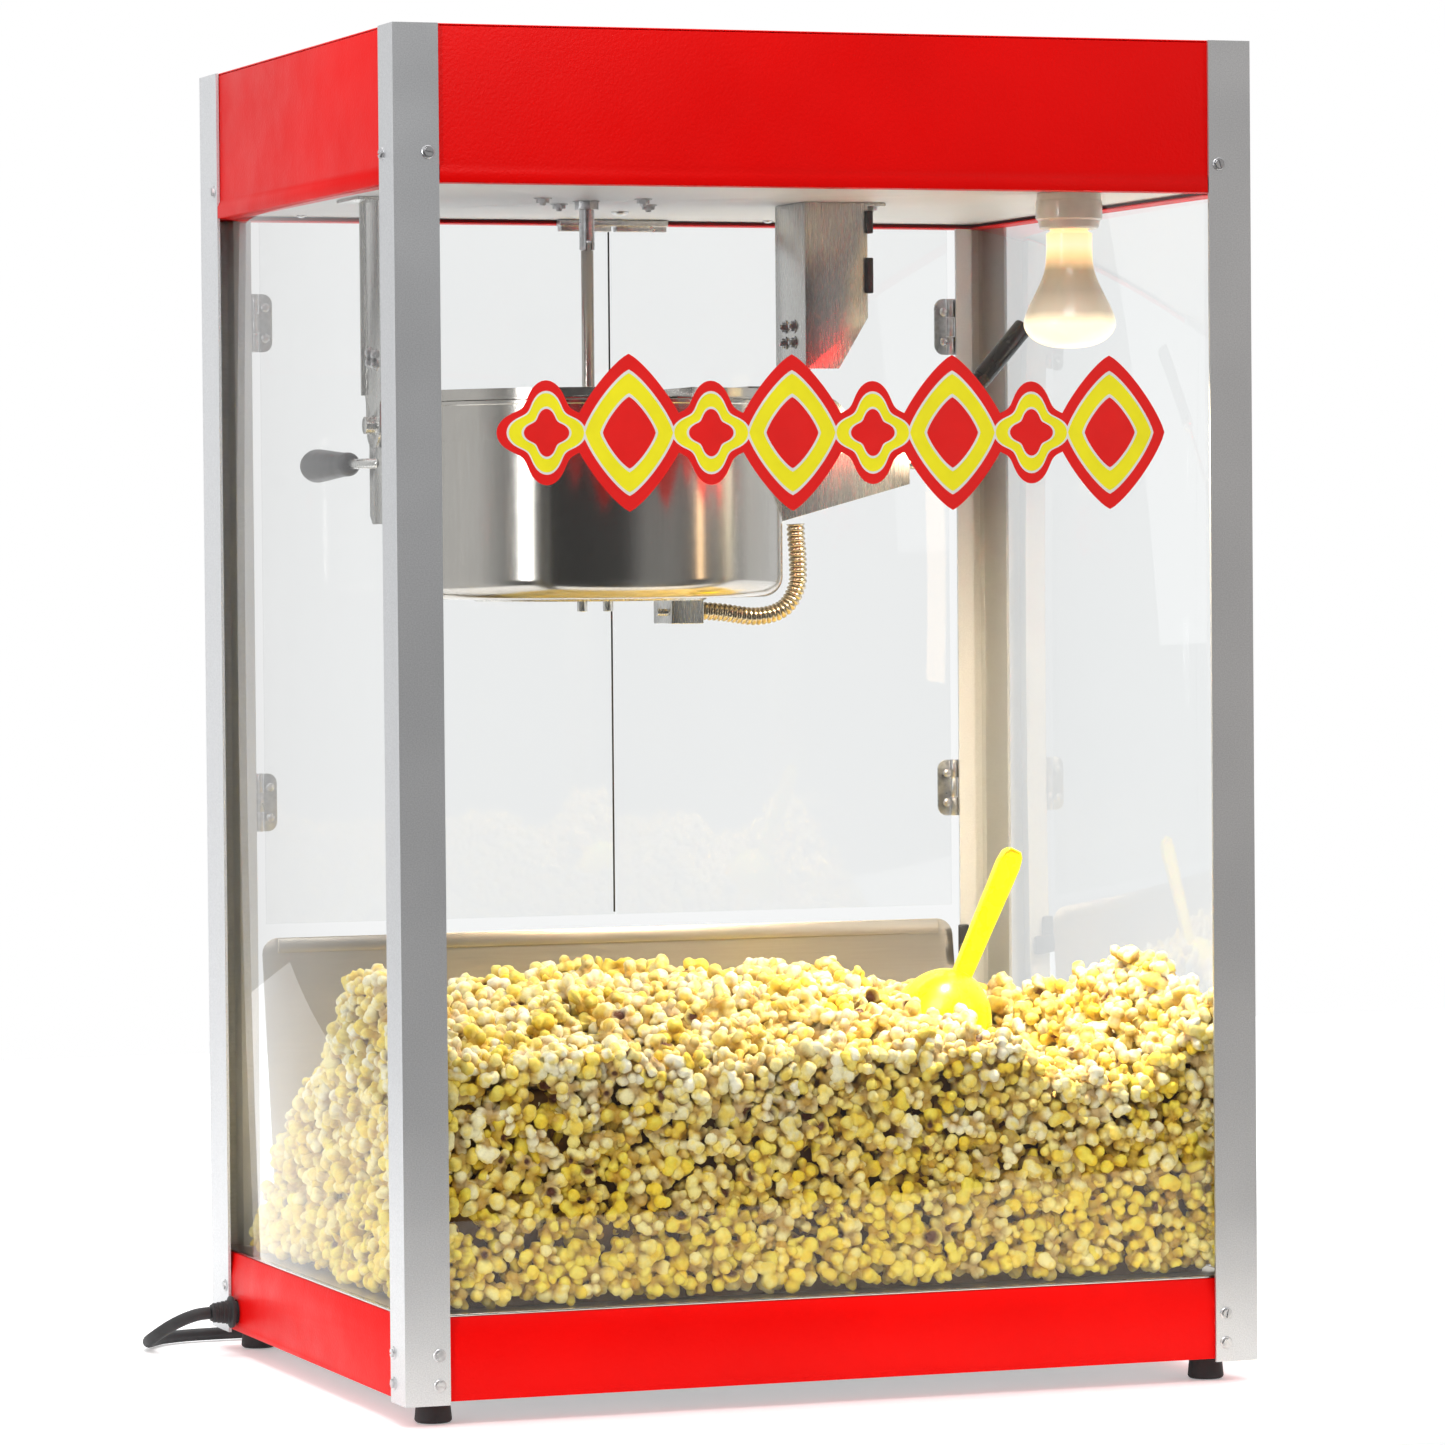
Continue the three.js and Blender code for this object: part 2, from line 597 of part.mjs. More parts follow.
// The right side bracket: a pad on the collar, the pivot pin, the front ear with its bolt, and
// the tapered lead housing below, which passes under the arm's round hub.
function rightTrunnion() {
  const z = KETTLE.pivotZ;
  const inner = KETTLE.x + COLLAR.outer + 0.4;
  const pad = slab([inner, inner + 2.4], [-21, 19], [z - 20, z + 15]);
  const pin = bar([inner + 1, 0, z], [ARM.right + ARM.wall + 9, 0, z], TRUNNION);
  const cap = bar([ARM.right + ARM.wall + 0.5, 0, z], [ARM.right + ARM.wall + 5, 0, z], 10, undefined, 6);
  const earEnd = 94;
  const radius = 20;
  const ear = prismY([
    [inner, z + 15], [inner, z - 20],
    ...arc(earEnd - radius, z, radius, 270, 360, 6), ...arc(earEnd - radius, z, radius, 0, 90, 6),
    [62, z + 20], [58, z + 15],
  ], -21, -18.6);
  const bolt = bar([83.5, -25, z], [83.5, -20, z], 5.4, undefined, 6);
  const shelf = slab([inner, 88], [-21, 6], [z - 20.4, z - 18]);
  const end = LEVER.housingEnd;
  const housing = prismY([[inner, z - 68], [inner, z - 18.4], [end, z - 18.4], [end, z - 42]], -14, 4);
  return join(pad, pin, cap, ear, bolt, shelf, housing);
}

// The left side bracket: pad, pivot pin, drop plate with notches, and the stud for the grip.
function leftTrunnion() {
  const z = KETTLE.pivotZ;
  const inner = KETTLE.x - COLLAR.outer - 0.4;
  const pad = slab([inner - 2.4, inner], [-18, 18], [z - 18, z + 15]);
  const pin = bar([ARM.left - ARM.wall - 6, 0, z], [inner - 1, 0, z], TRUNNION);
  const far = ARM.left + 2.6;
  const plate = prismX([
    [-15, z + 14], [-15, z - 34], [-11, z - 36], [-11, z - 42], [-15, z - 44], [-15, z - 62], [-9, z - 68],
    [18, z - 68], [24, z - 62], [24, z - 10], [12, z + 14],
  ], far, far + 2.4);
  const studZ = z - STUD.drop;
  const stud = hose([
    [far + 1.4, 6, studZ], [far - 3.6, 12, studZ], [far - 6.6, 24, studZ], [STUD.endX, STUD.endY, studZ],
  ], STUD.radius, 12, 12);
  return join(pad, pin, plate, stud);
}

function handleGrip() {
  const outward = THREE.MathUtils.degToRad(4);
  const profile = [[0, 0], [6.5, 0], [8.5, 4], [8.6, 16], [11.2, 54], [12, 71], [10, 77], [6, 79], [0, 79]];
  return turned(profile, 0, 0, 18)
    .rotateX(-Math.PI / 2)
    .rotateZ(outward)
    .translate(STUD.endX, STUD.endY + 1, KETTLE.pivotZ - STUD.drop);
}

// A slim lever on the lead housing, with a ferrule and a thick grip on its upper half.
function dumpLever() {
  const { housingEnd, footX, footZ, tipX, tipZ, y } = LEVER;
  const foot = new THREE.Vector3(footX, y, footZ);
  const tip = new THREE.Vector3(tipX, y, tipZ);
  const at = (share) => foot.clone().lerp(tip, share).toArray();
  return join(
    bar(at(0), at(0.55), 3.4, undefined, 12),
    bar(at(0.46), at(0.52), 8.4, undefined, 12),
    bar(at(0.5), at(1), 7.2, undefined, 12),
    bar([housingEnd + GAP, y, footZ], [footX + 2, y, footZ], 4.6, undefined, 12),
  );
}

function stirrer() {
  const bottom = KETTLE.bottom + KETTLE.wall + 1;
  const shaft = bar([0, 0, bottom], [0, 0, SHAFT.joint - 0.4], SHAFT.radius);
  const sleeve = bar([0, 0, bottom + 1], [0, 0, bottom + 26], 8);
  const tongue = slab([-1.5, 1.5], [-4, 4], [SHAFT.joint - 2, SHAFT.joint + SHAFT.tongue]);
  const sweep = prismY([[3, 0.4], [116, 0.4], [123, 5], [121, 6.5], [110, 3], [3, 3]], -7, 7);
  const blade = sweep.translate(0, 0, bottom);
  const other = blade.clone().rotateZ(Math.PI);
  return join(shaft, sleeve, tongue, blade, other).translate(KETTLE.x, 0, 0);
}

function driveCoupling() {
  const sleeve = bar([0, 0, SHAFT.joint], [0, 0, CEILING + 6], COUPLING.radius, undefined, 20);
  const nut = bar([0, 0, CEILING - 6], [0, 0, CEILING + 6], COUPLING.nut, undefined, 6);
  const slot = slab(
    [-COUPLING.slot / 2, COUPLING.slot / 2], [-10, 10], [SHAFT.joint - 1, SHAFT.joint + SHAFT.tongue + 1.5],
  );
  return cut(join(sleeve, nut), slot).translate(KETTLE.x, 0, 0);
}

function driveMotor() {
  const bottom = CEILING + SHEET + GAP;
  const gearbox = cut(
    slab([-42, 42], [-34, 60], [bottom, bottom + 34]),
    bar([0, 0, bottom - 1], [0, 0, CEILING + 8], COUPLING.nut + 0.6, undefined, 20),
  );
  const can = bar([0, 26, bottom + 33], [0, 26, bottom + 84], 29, undefined, 24);
  const vent = bar([0, 26, bottom + 83], [0, 26, bottom + 88], 22, undefined, 24);
  return join(gearbox, can, vent).translate(KETTLE.x, 0, 0);
}

// ---- flexible metal lead from the wiring box to the lead housing ----
function conduit() {
  return hose([
    [-14.4, -5, 530], [4, -5, 528.5], [30, -5, 525.5], [50, -5, 531], [60, -5, 546], [61, -5, 565],
    [60, -5, 580], [59.5, -5, 590.5],
  ], 6.6, 10, 28);
}

// ---- lamp ----
function lampSocket() {
  const { x, y, socket, socketBottom } = LAMP;
  const top = CEILING - GAP;
  return turnedRing([
    [14.5, socketBottom - 8], [socket - 4, socketBottom - 8], [socket, socketBottom - 2],
    [socket, top], [9, top], [9, top - 6], [14.5, top - 8],
  ], x, y, 28);
}

function lampBulb() {
  const { x, y, bulb, bulbBottom: z } = LAMP;
  return turned([
    [0, z], [bulb * 0.62, z + 3.5], [bulb * 0.88, z + 10], [bulb, z + 20], [bulb * 0.98, z + 27],
    [bulb * 0.84, z + 38], [bulb * 0.64, z + 48], [bulb * 0.53, z + 57], [bulb * 0.5, z + 66],
    [bulb * 0.5, z + 78], [13.2, z + 81], [13.2, z + 96], [0, z + 98],
  ], x, y, 28);
}

// ---- power cord ----
function strainRelief() {
  const inside = -half.x + 12;
  return join(
    bar([inside, CORD.y, CORD.z], [-half.x - 2, CORD.y, CORD.z], 7.9),
    bar([-half.x + 1.9, CORD.y, CORD.z], [-half.x - 3, CORD.y, CORD.z], 11.5, 10.5),
    bar([-half.x - 2.5, CORD.y, CORD.z], [CORD.exitX + GAP, CORD.y, CORD.z], 8.6, 6.4),
  );
}

function powerCord() {
  return hose([
    [CORD.exitX - 0.6, CORD.y, CORD.z], [-331, 183.6, 29.2], [-340, 187, 26], [-348, 193.6, 21],
    [-354, 203, 15], [-357, 215, 9.5], [-355.8, 228, 6], [-350, 240.5, 4.9], [-340.6, 250.6, 4.9],
    [-328.6, 257.6, 4.9], [-315, 261.4, 4.9], [-300, 262.8, 4.9], [-282, 263, 4.9], [-264, 263, 4.9],
    [-247, 263, 4.9],
  ], CORD.radius, 10, 24);
}

function cordCoil() {
  const { coilX, coilY, coilRadius, radius } = CORD;
  const [inner, outer] = [coilRadius - 3 * radius, coilRadius + 3 * radius];
  const top = 4 * radius + GAP;
  return turnedRing([
    [inner + 2, GAP], [outer - 2, GAP], [outer, 3], [outer, top - 3], [outer - 2, top], [inner + 2, top],
    [inner, top - 3], [inner, 3],
  ], coilX, coilY, 32);
}

function powerPlug() {
  const x = CORD.coilX + CORD.coilRadius + 2 * CORD.radius;
  const z = 10.3;
  const start = CORD.coilY + 38.5;
  const body = [[-12, -6], [-8, -10], [8, -10], [12, -6], [12, 5], [7, 10], [-7, 10], [-12, 5]];
  const blade = (dx) => slab([x + dx - 0.8, x + dx + 0.8], [start + 46, start + 64], [z - 4, z + 2.4]);
  return join(
    bar([x, start, z], [x, start + 18.5, z], 5.4, 7.6),
    prismY(body.map(([u, v]) => [x + u, z + v]), start + 18, start + 47),
    blade(-6.35), blade(6.35),
    bar([x, start + 46, z + 5.4], [x, start + 66, z + 5.4], 2.4, undefined, 10),
  );
}

// ---- popcorn and scoop ----
// The heap is highest behind the middle and in the front right corner, falls away to the rear on
// the left, and dips where the scoop stands.
function heapHeight(x, y) {
  const { smoothstep, clamp } = THREE.MathUtils;
  const crest = 232 + 34 * smoothstep(y, -232, -90);
  const leftFall = clamp((-x - 150) / 145, 0, 1) * Math.max(0, 0.74 * (y + 60));
  const rearFall = 34 * smoothstep(y, 90, 190);
  const leftRise = 14 * smoothstep(-x, 215, 292) * (1 - smoothstep(y, -130, 20));
  const rightRise = 44 * smoothstep(x, 228, 300) * (1 - smoothstep(y, -120, 60));
  const rightDip = 20 * smoothstep(x, 120, 200);
  const lumps = 5 * Math.sin(x / 41) * Math.cos(y / 37) + 4 * Math.sin((x + y) / 23);
  const behind = Math.max(0, y - SCOOP.y) + Math.min(0, y - SCOOP.y) / 3;
  const hollow = 58 * (1 - smoothstep(Math.hypot((x - SCOOP.x) / 64, behind / 54), 0.75, 1.3));
  const height = crest - leftFall - rearFall + leftRise + rightRise - rightDip + lumps - hollow;
  return Math.max(height, BASE_TOP + 14);
}

function popcornHeap() {
  const floor = BASE_TOP + 2.2;
  const [columns, rows] = [30, 20];
  const front = -half.y + SKIN_INSET + GLASS + 1.2;
  const side = half.x - SKIN_INSET - GLASS - 1.4;
  const block = new THREE.BoxGeometry(2 * side, 1, 1, columns, rows, 1);
  const at = block.attributes.position;
  const lean = Math.tan(THREE.MathUtils.degToRad(GATE.lean));
  for (let i = 0; i < at.count; i += 1) {
    const share = at.getY(i) + 0.5;
    const bottomRear = GATE.pivotY - 5;
    const x = at.getX(i);
    const upper = at.getZ(i) > 0;
    const y0 = front + share * (bottomRear - front);
    const z = upper ? heapHeight(x, y0) : floor;
    const y = y0 + share * share * (upper ? lean * (z - floor) : 0);
    at.setXYZ(i, x, y, z);
  }
  return block;
}

// A moulded scoop: a deep rounded bowl, its mouth down in the corn, and a flat tapered handle.
function scoop() {
  const radii = [38, 33, 46];
  const outer = new THREE.SphereGeometry(1, 20, 14).scale(...radii);
  const inner = new THREE.SphereGeometry(1, 20, 14).scale(...radii.map((r) => r - SCOOP.wall));
  const mouth = slab([-80, 80], [-80, 80], [-80, -6]);
  const handle = prismY([
    [-7, 40], [7, 40], [7.5, 62], [8.8, 132], [6, 142], [-6, 142], [-8.8, 132], [-7.5, 62],
  ], -4, 4);
  return cut(join(cut(outer, mouth), handle), inner)
    .rotateY(THREE.MathUtils.degToRad(SCOOP.lean))
    .translate(SCOOP.x, SCOOP.y, SCOOP.z);
}

// ---- assembly ----
piece('base_skirt', baseSkirt(), red);
piece('base_floor', baseFloor(), zinc);
piece('base_trim', baseTrim(), stainless);
for (const [name, x] of [['left', -1], ['right', 1]]) {
  for (const [end, y] of [['front', -1], ['rear', 1]]) {
    piece(`foot_${end}_${name}`, rubberFoot(x * (half.x - 27), y * (half.y - 27)), rubber);
  }
  piece(`post_front_${name}`, cornerPost(FRONT_POST, x, -1), aluminium);
  piece(`post_rear_${name}`, rearPost(x), aluminium);
}
piece('corn_deck', cornDeck(), stainless);
piece('kernel_drawer', kernelDrawer(), stainless);
piece('header_shell', headerShell(), red);
piece('top_cover', topCover(), red);
piece('ceiling_plate', ceilingPlate(), white);
piece('switch_plate', switchPlate(), blackPlastic);
['motor', 'kettle', 'lamp'].forEach((duty, i) => {
  piece(`${duty}_switch`, rocker(switchCentres()[i]), blackPlastic);
});
piece('front_glass', frontGlass(), clear);
piece('left_glass', sideGlass(-1), clear);
piece('right_glass', sideGlass(1), clear);
for (const [name, side] of [['left', -1], ['right', 1]]) {
  piece(`door_${name}`, door(side), clear);
  HINGE.heights.forEach((z, i) => {
    const place = `${name}_${['lower', 'upper'][i]}`;
    piece(`hinge_frame_leaf_${place}`, hingeFrameLeaf(side, z), zinc);
    piece(`hinge_door_leaf_${place}`, hingeDoorLeaf(side, z), zinc);
  });
  piece(`kettle_lid_${name}`, lid(side), stainless);
}
piece('door_catch', doorCatch(), zinc);
piece('rear_gate', rearGate(), stainless);
piece('gate_catch', gateCatch(), blackPlastic);
piece('kettle_arm_left', leftArm(), stainless);
piece('kettle_arm_right', rightArm(), stainless);
piece('kettle_shell', kettleShell(), stainless);
piece('kettle_collar', kettleCollar(), stainless);
piece('kettle_base_cover', kettleBaseCover(), stainless);
piece('lid_bar', lidBar(), stainless);
piece('trunnion_right', rightTrunnion(), stainless);
piece('trunnion_left', leftTrunnion(), stainless);
piece('tilt_handle_grip', handleGrip(), blackPlastic);
piece('dump_lever', dumpLever(), blackPlastic);
piece('stirrer', stirrer(), stainless);
piece('drive_coupling', driveCoupling(), zinc);
piece('drive_motor', driveMotor(), zinc);
piece('kettle_conduit', conduit(), zinc);
piece('lamp_socket', lampSocket(), porcelain);
piece('lamp_bulb', lampBulb(), bulbGlass);
piece('strain_relief', strainRelief(), rubber);
piece('power_cord', powerCord(), rubber);
piece('cord_coil', cordCoil(), rubber);
piece('power_plug', powerPlug(), rubber);
piece('popcorn_heap', popcornHeap(), corn);
piece('scoop', scoop(), yellowPlastic);

export default machine;
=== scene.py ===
import json
import math

import bmesh
import bpy
import numpy as np
from mathutils import Matrix, Vector
from mathutils.bvhtree import BVHTree


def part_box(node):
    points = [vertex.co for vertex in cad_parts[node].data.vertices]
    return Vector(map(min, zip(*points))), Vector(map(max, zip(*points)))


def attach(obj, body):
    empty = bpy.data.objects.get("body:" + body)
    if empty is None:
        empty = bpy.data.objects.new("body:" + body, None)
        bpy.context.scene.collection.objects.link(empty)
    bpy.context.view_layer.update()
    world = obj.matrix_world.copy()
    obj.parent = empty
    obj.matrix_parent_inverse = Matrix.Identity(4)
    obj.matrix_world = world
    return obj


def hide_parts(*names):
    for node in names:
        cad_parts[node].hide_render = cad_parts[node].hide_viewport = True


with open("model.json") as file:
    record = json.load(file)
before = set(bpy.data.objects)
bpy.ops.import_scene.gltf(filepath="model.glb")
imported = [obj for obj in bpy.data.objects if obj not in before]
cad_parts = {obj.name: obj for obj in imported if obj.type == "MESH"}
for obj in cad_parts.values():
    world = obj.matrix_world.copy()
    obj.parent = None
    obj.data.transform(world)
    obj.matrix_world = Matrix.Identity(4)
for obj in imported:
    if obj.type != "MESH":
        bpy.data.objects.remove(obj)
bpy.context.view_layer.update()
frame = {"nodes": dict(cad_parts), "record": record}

MM = 0.001
scene = bpy.context.scene
record = frame["record"]
body_of = {n: body for body, nodes in record["behaviour"]["bodies"].items() for n in nodes}
slot_of = {part["node"]: part["material_slot"] for part in record["subparts"]}

# driving dimensions that the boxes don't give, in millimetres
POST_WALL = 2.0
CORD_DIAMETER = 9.0
SCOOP_LEAN = 25.0
KERNEL = 14.4  # usual radius of a popped kernel, out to its furthest lobe
CORN_STEP = 15.0  # spacing of the kernels
GATE_FOOT = 186.0  # the rear gate's inner face at the heap's foot
GATE_SLOPE = math.tan(math.radians(9))
# the dark core inside the heap is painted shade
SHADE_CORE_INSET = 21.0  # how far the dark core lies inside the heap
FACES_PER_OBJECT = 180000  # loose kernels are gathered into objects of about this many faces


def mm_box(node):
    low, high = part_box(node)
    return low / MM, high / MM


# ---- camera and cord come first ----
def add_camera():
    yaw, pitch, roll = 0.3465, -0.0256, -0.0085
    forward = Vector((
        math.sin(yaw) * math.cos(pitch), math.cos(yaw) * math.cos(pitch), math.sin(pitch),
    ))
    right = forward.cross(Vector((0, 0, 1))).normalized()
    up = right.cross(forward)
    rolled_right = right * math.cos(roll) + up * math.sin(roll)
    rolled_up = up * math.cos(roll) - right * math.sin(roll)
    turn = Matrix((rolled_right, rolled_up, -forward)).transposed().to_4x4()
    data = bpy.data.cameras.new("camera")
    data.sensor_width = 36
    data.lens = 154.47
    data.clip_end = 50
    camera = bpy.data.objects.new("camera", data)
    camera.matrix_world = Matrix.Translation((-1.4762, -4.1034, 0.5627)) @ turn
    scene.collection.objects.link(camera)
    scene.camera = camera


def smooth_route(points, steps=6):
    """Points along a Catmull-Rom curve through the given points."""
    padded = [points[0] * 2 - points[1], *points, points[-1] * 2 - points[-2]]
    route = []
    for i in range(1, len(padded) - 2):
        a, b, c, d = padded[i - 1:i + 3]
        for k in range(steps):
            t = k / steps
            route.append(0.5 * (
                2 * b + (c - a) * t + (2 * a - 5 * b + 4 * c - d) * t ** 2
                + (3 * b - a - 3 * c + d) * t ** 3
            ))
    return [*route, points[-1]]


def coil_points(centre, low, per_turn=28):
    """Two layers of turns, wound outside in and back out, then out to the plug."""
    radii = [59, 48, 38, 38, 48, 59]
    turns = 5.25
    count = int(turns * per_turn)
    points = []
    for i in range(1, count + 1):
        turn = i / per_turn
        radius = np.interp(turn / turns * 5.0, range(6), radii)
        lift = 9.2 * min(1.0, max(0.0, (turn - 2.45) * 3))
        angle = math.radians(-90) + 2 * math.pi * turn
        points.append(Vector((
            centre.x + radius * math.cos(angle), centre.y + radius * math.sin(angle), low + lift,
        )))
    return points


def cord_route():
    stub = [
        (-322.6, 183, 30), (-331, 183.6, 29.2), (-340, 187, 26), (-348, 193.6, 21), (-354, 203, 15),
        (-357, 215, 9.5), (-355.8, 228, 6), (-350, 240.5, 4.9), (-340.6, 250.6, 4.9),
        (-328.6, 257.6, 4.9), (-315, 261.4, 4.9), (-300, 262.8, 4.9), (-282, 263, 4.9),
        (-264, 263, 4.9), (-247, 263, 4.9), (-225, 263, 4.9),
    ]
    low, high = mm_box("cord_coil")
    centre = (low + high) / 2
    coil = coil_points(centre, 4.8)
    plug_low, plug_high = mm_box("power_plug")
    plug_tail = Vector(((plug_low.x + plug_high.x) / 2, plug_low.y + 0.3, 10.3))
    bridge = [plug_tail - Vector((0, 22, -2.6)), plug_tail]
    return smooth_route([Vector(p) for p in stub] + coil[1:] + bridge, 3)


# ---- materials ----
class Shader:
    """A node tree with a Principled shader and short ways to add textures to it."""

    def __init__(self, name):
        self.material = bpy.data.materials.new(name)
        self.material.use_nodes = True
        self.nodes = self.material.node_tree.nodes
        self.links = self.material.node_tree.links
        self.bsdf = self.nodes["Principled BSDF"]
        self.output = self.nodes["Material Output"]
        self.place = self.nodes.new("ShaderNodeTexCoord").outputs["Object"]

    def put(self, **sockets):
        for name, value in sockets.items():
            self.bsdf.inputs[name.replace("_", " ")].default_value = value
        return self

    def scaled(self, scale):
        mapping = self.nodes.new("ShaderNodeMapping")
        mapping.inputs["Scale"].default_value = scale
        self.links.new(self.place, mapping.inputs["Vector"])
        return mapping.outputs["Vector"]

    def noise(self, scale, stretch=(1, 1, 1), detail=3.0, roughness=0.55):
        node = self.nodes.new("ShaderNodeTexNoise")
        node.inputs["Scale"].default_value = scale
        node.inputs["Detail"].default_value = detail
        node.inputs["Roughness"].default_value = roughness
        self.links.new(self.scaled(stretch), node.inputs["Vector"])
        return node.outputs["Fac"]

    def cells(self, scale, feature="F1"):
        node = self.nodes.new("ShaderNodeTexVoronoi")
        node.feature = feature
        node.inputs["Scale"].default_value = scale
        self.links.new(self.place, node.inputs["Vector"])
        return node.outputs["Distance"]

    def ramp(self, value, *stops):
        node = self.nodes.new("ShaderNodeValToRGB")
        elements = node.color_ramp.elements
        while len(elements) < len(stops):
            elements.new(0.5)
        for element, (position, color) in zip(elements, stops):
            element.position = position
            grey = (color, color, color) if isinstance(color, (int, float)) else color
            element.color = (*grey, 1)
        self.links.new(value, node.inputs["Fac"])
        return node.outputs["Color"]

    def mix(self, factor, a, b, blend="MIX"):
        node = self.nodes.new("ShaderNodeMix")
        node.data_type = "RGBA"
        node.blend_type = blend
        for socket, value in ((node.inputs[0], factor), (node.inputs[6], a), (node.inputs[7], b)):
            if isinstance(value, bpy.types.NodeSocket):
                self.links.new(value, socket)
            elif isinstance(value, (int, float)):
                socket.default_value = value
            else:
                socket.default_value = (*value, 1)
        return node.outputs[2]

    def add(self, a, b, operation="ADD"):
        node = self.nodes.new("ShaderNodeMath")
        node.operation = operation
        for socket, value in zip(node.inputs, (a, b)):
            if isinstance(value, bpy.types.NodeSocket):
                self.links.new(value, socket)
            else:
                socket.default_value = value
        return node.outputs["Value"]

    def color(self, value):
        self.links.new(value, self.bsdf.inputs["Base Color"])
        return self

    def roughness(self, value):
        self.links.new(value, self.bsdf.inputs["Roughness"])
        return self

    def bump(self, height, distance, strength=1.0):
        node = self.nodes.new("ShaderNodeBump")
        node.inputs["Distance"].default_value = distance
        node.inputs["Strength"].default_value = strength
        self.links.new(height, node.inputs["Height"])
        self.links.new(node.outputs["Normal"], self.bsdf.inputs["Normal"])
        return self


def red_powder_coat():
    s = Shader("red_powder_coat")
    s.put(Specular_IOR_Level=0.08)
    fade = s.noise(6, detail=2)
    s.color(s.ramp(fade, (0.3, (0.66, 0.001, 0.0005)), (0.7, (0.74, 0.0015, 0.001))))
    peel = s.noise(520, detail=2)
    s.roughness(s.ramp(s.noise(30), (0.3, 0.36), (0.7, 0.46)))
    return s.bump(peel, 0.0003, 0.75).material


def brushed(name, dark, light, stretch, rough=(0.22, 0.36), streak=520, depth=0.00004):
    """Metal with fine parallel scratches; stretch says along which axes they run."""
    s = Shader(name)
    s.put(Metallic=1.0)
    grain = s.noise(streak, stretch, detail=4, roughness=0.7)
    cloud = s.noise(9, detail=3)
    mixed = s.add(s.add(grain, 0.6, "MULTIPLY"), s.add(cloud, 0.4, "MULTIPLY"))
    s.color(s.ramp(mixed, (0.35, dark), (0.65, light)))
    s.roughness(s.ramp(grain, (0.3, rough[0]), (0.7, rough[1])))
    return s.bump(grain, depth, 0.15).material


def anodised(name, metallic, tone=1.0):
    """Satin aluminium with a fine blasted grain."""
    s = Shader(name)
    s.put(Metallic=metallic)
    grain = s.noise(1100, detail=2)
    dark = tuple(tone * c for c in (0.56, 0.57, 0.585))
    pale = tuple(tone * c for c in (0.66, 0.67, 0.685))
    s.color(s.ramp(grain, (0.35, dark), (0.65, pale)))
    s.roughness(s.ramp(s.noise(12), (0.3, 0.36), (0.7, 0.43)))
    return s.bump(grain, 0.00008, 0.4).material


def zinc_plate():
    s = Shader("zinc_plated_steel")
    s.put(Metallic=1.0)
    spangle = s.cells(260)
    s.color(s.ramp(spangle, (0.1, (0.46, 0.46, 0.47)), (0.8, (0.62, 0.62, 0.63))))
    s.roughness(s.ramp(s.noise(140), (0.3, 0.26), (0.7, 0.42)))
    return s.bump(s.noise(900), 0.00003, 0.4).material


def white_enamel():
    s = Shader("white_enamel")
    s.color(s.ramp(s.noise(5), (0.3, (0.60, 0.60, 0.60)), (0.7, (0.66, 0.66, 0.655))))
    s.roughness(s.ramp(s.noise(40), (0.3, 0.40), (0.7, 0.46)))
    return s.bump(s.noise(700), 0.00005, 0.25).material


def clear_sheet(name, tint, gloss_roughness, index):
    """A pane that lets light straight through and mirrors more at a grazing angle."""
    s = Shader(name)
    through = s.nodes.new("ShaderNodeBsdfTransparent")
    through.inputs["Color"].default_value = (*tint, 1)
    gloss = s.nodes.new("ShaderNodeBsdfGlossy")
    gloss.inputs["Roughness"].default_value = gloss_roughness
    fresnel = s.nodes.new("ShaderNodeFresnel")
    fresnel.inputs["IOR"].default_value = index
    facing = s.nodes.new("ShaderNodeNewGeometry").outputs["Backfacing"]
    smear = s.ramp(s.noise(14, detail=5), (0.4, 1.28), (0.8, 1.42))
    outer = s.add(1.0, facing, "SUBTRACT")
    amount = s.add(s.add(fresnel.outputs["Fac"], outer, "MULTIPLY"), smear, "MULTIPLY")
    blend = s.nodes.new("ShaderNodeMixShader")
    s.links.new(amount, blend.inputs["Fac"])
    s.links.new(through.outputs["BSDF"], blend.inputs[1])
    s.links.new(gloss.outputs["BSDF"], blend.inputs[2])
    s.links.new(blend.outputs["Shader"], s.output.inputs["Surface"])
    s.nodes.remove(s.bsdf)
    return s.material


def dark_polymer(name, color, rough, grain):
    s = Shader(name)
    pale = tuple(c * 1.7 + 0.004 for c in color)
    s.color(s.ramp(s.noise(35), (0.35, color), (0.75, pale)))
    s.roughness(s.ramp(s.noise(120), (0.3, rough - 0.06), (0.7, rough + 0.08)))
    return s.bump(s.noise(grain), 0.0001, 0.4).material


def porcelain():
    s = Shader("porcelain")
    s.put(Coat_Weight=0.6, Coat_Roughness=0.08, Roughness=0.3)
    s.color(s.ramp(s.noise(60), (0.3, (0.66, 0.61, 0.52)), (0.7, (0.78, 0.73, 0.64))))
    return s.bump(s.noise(260), 0.0001, 0.3).material


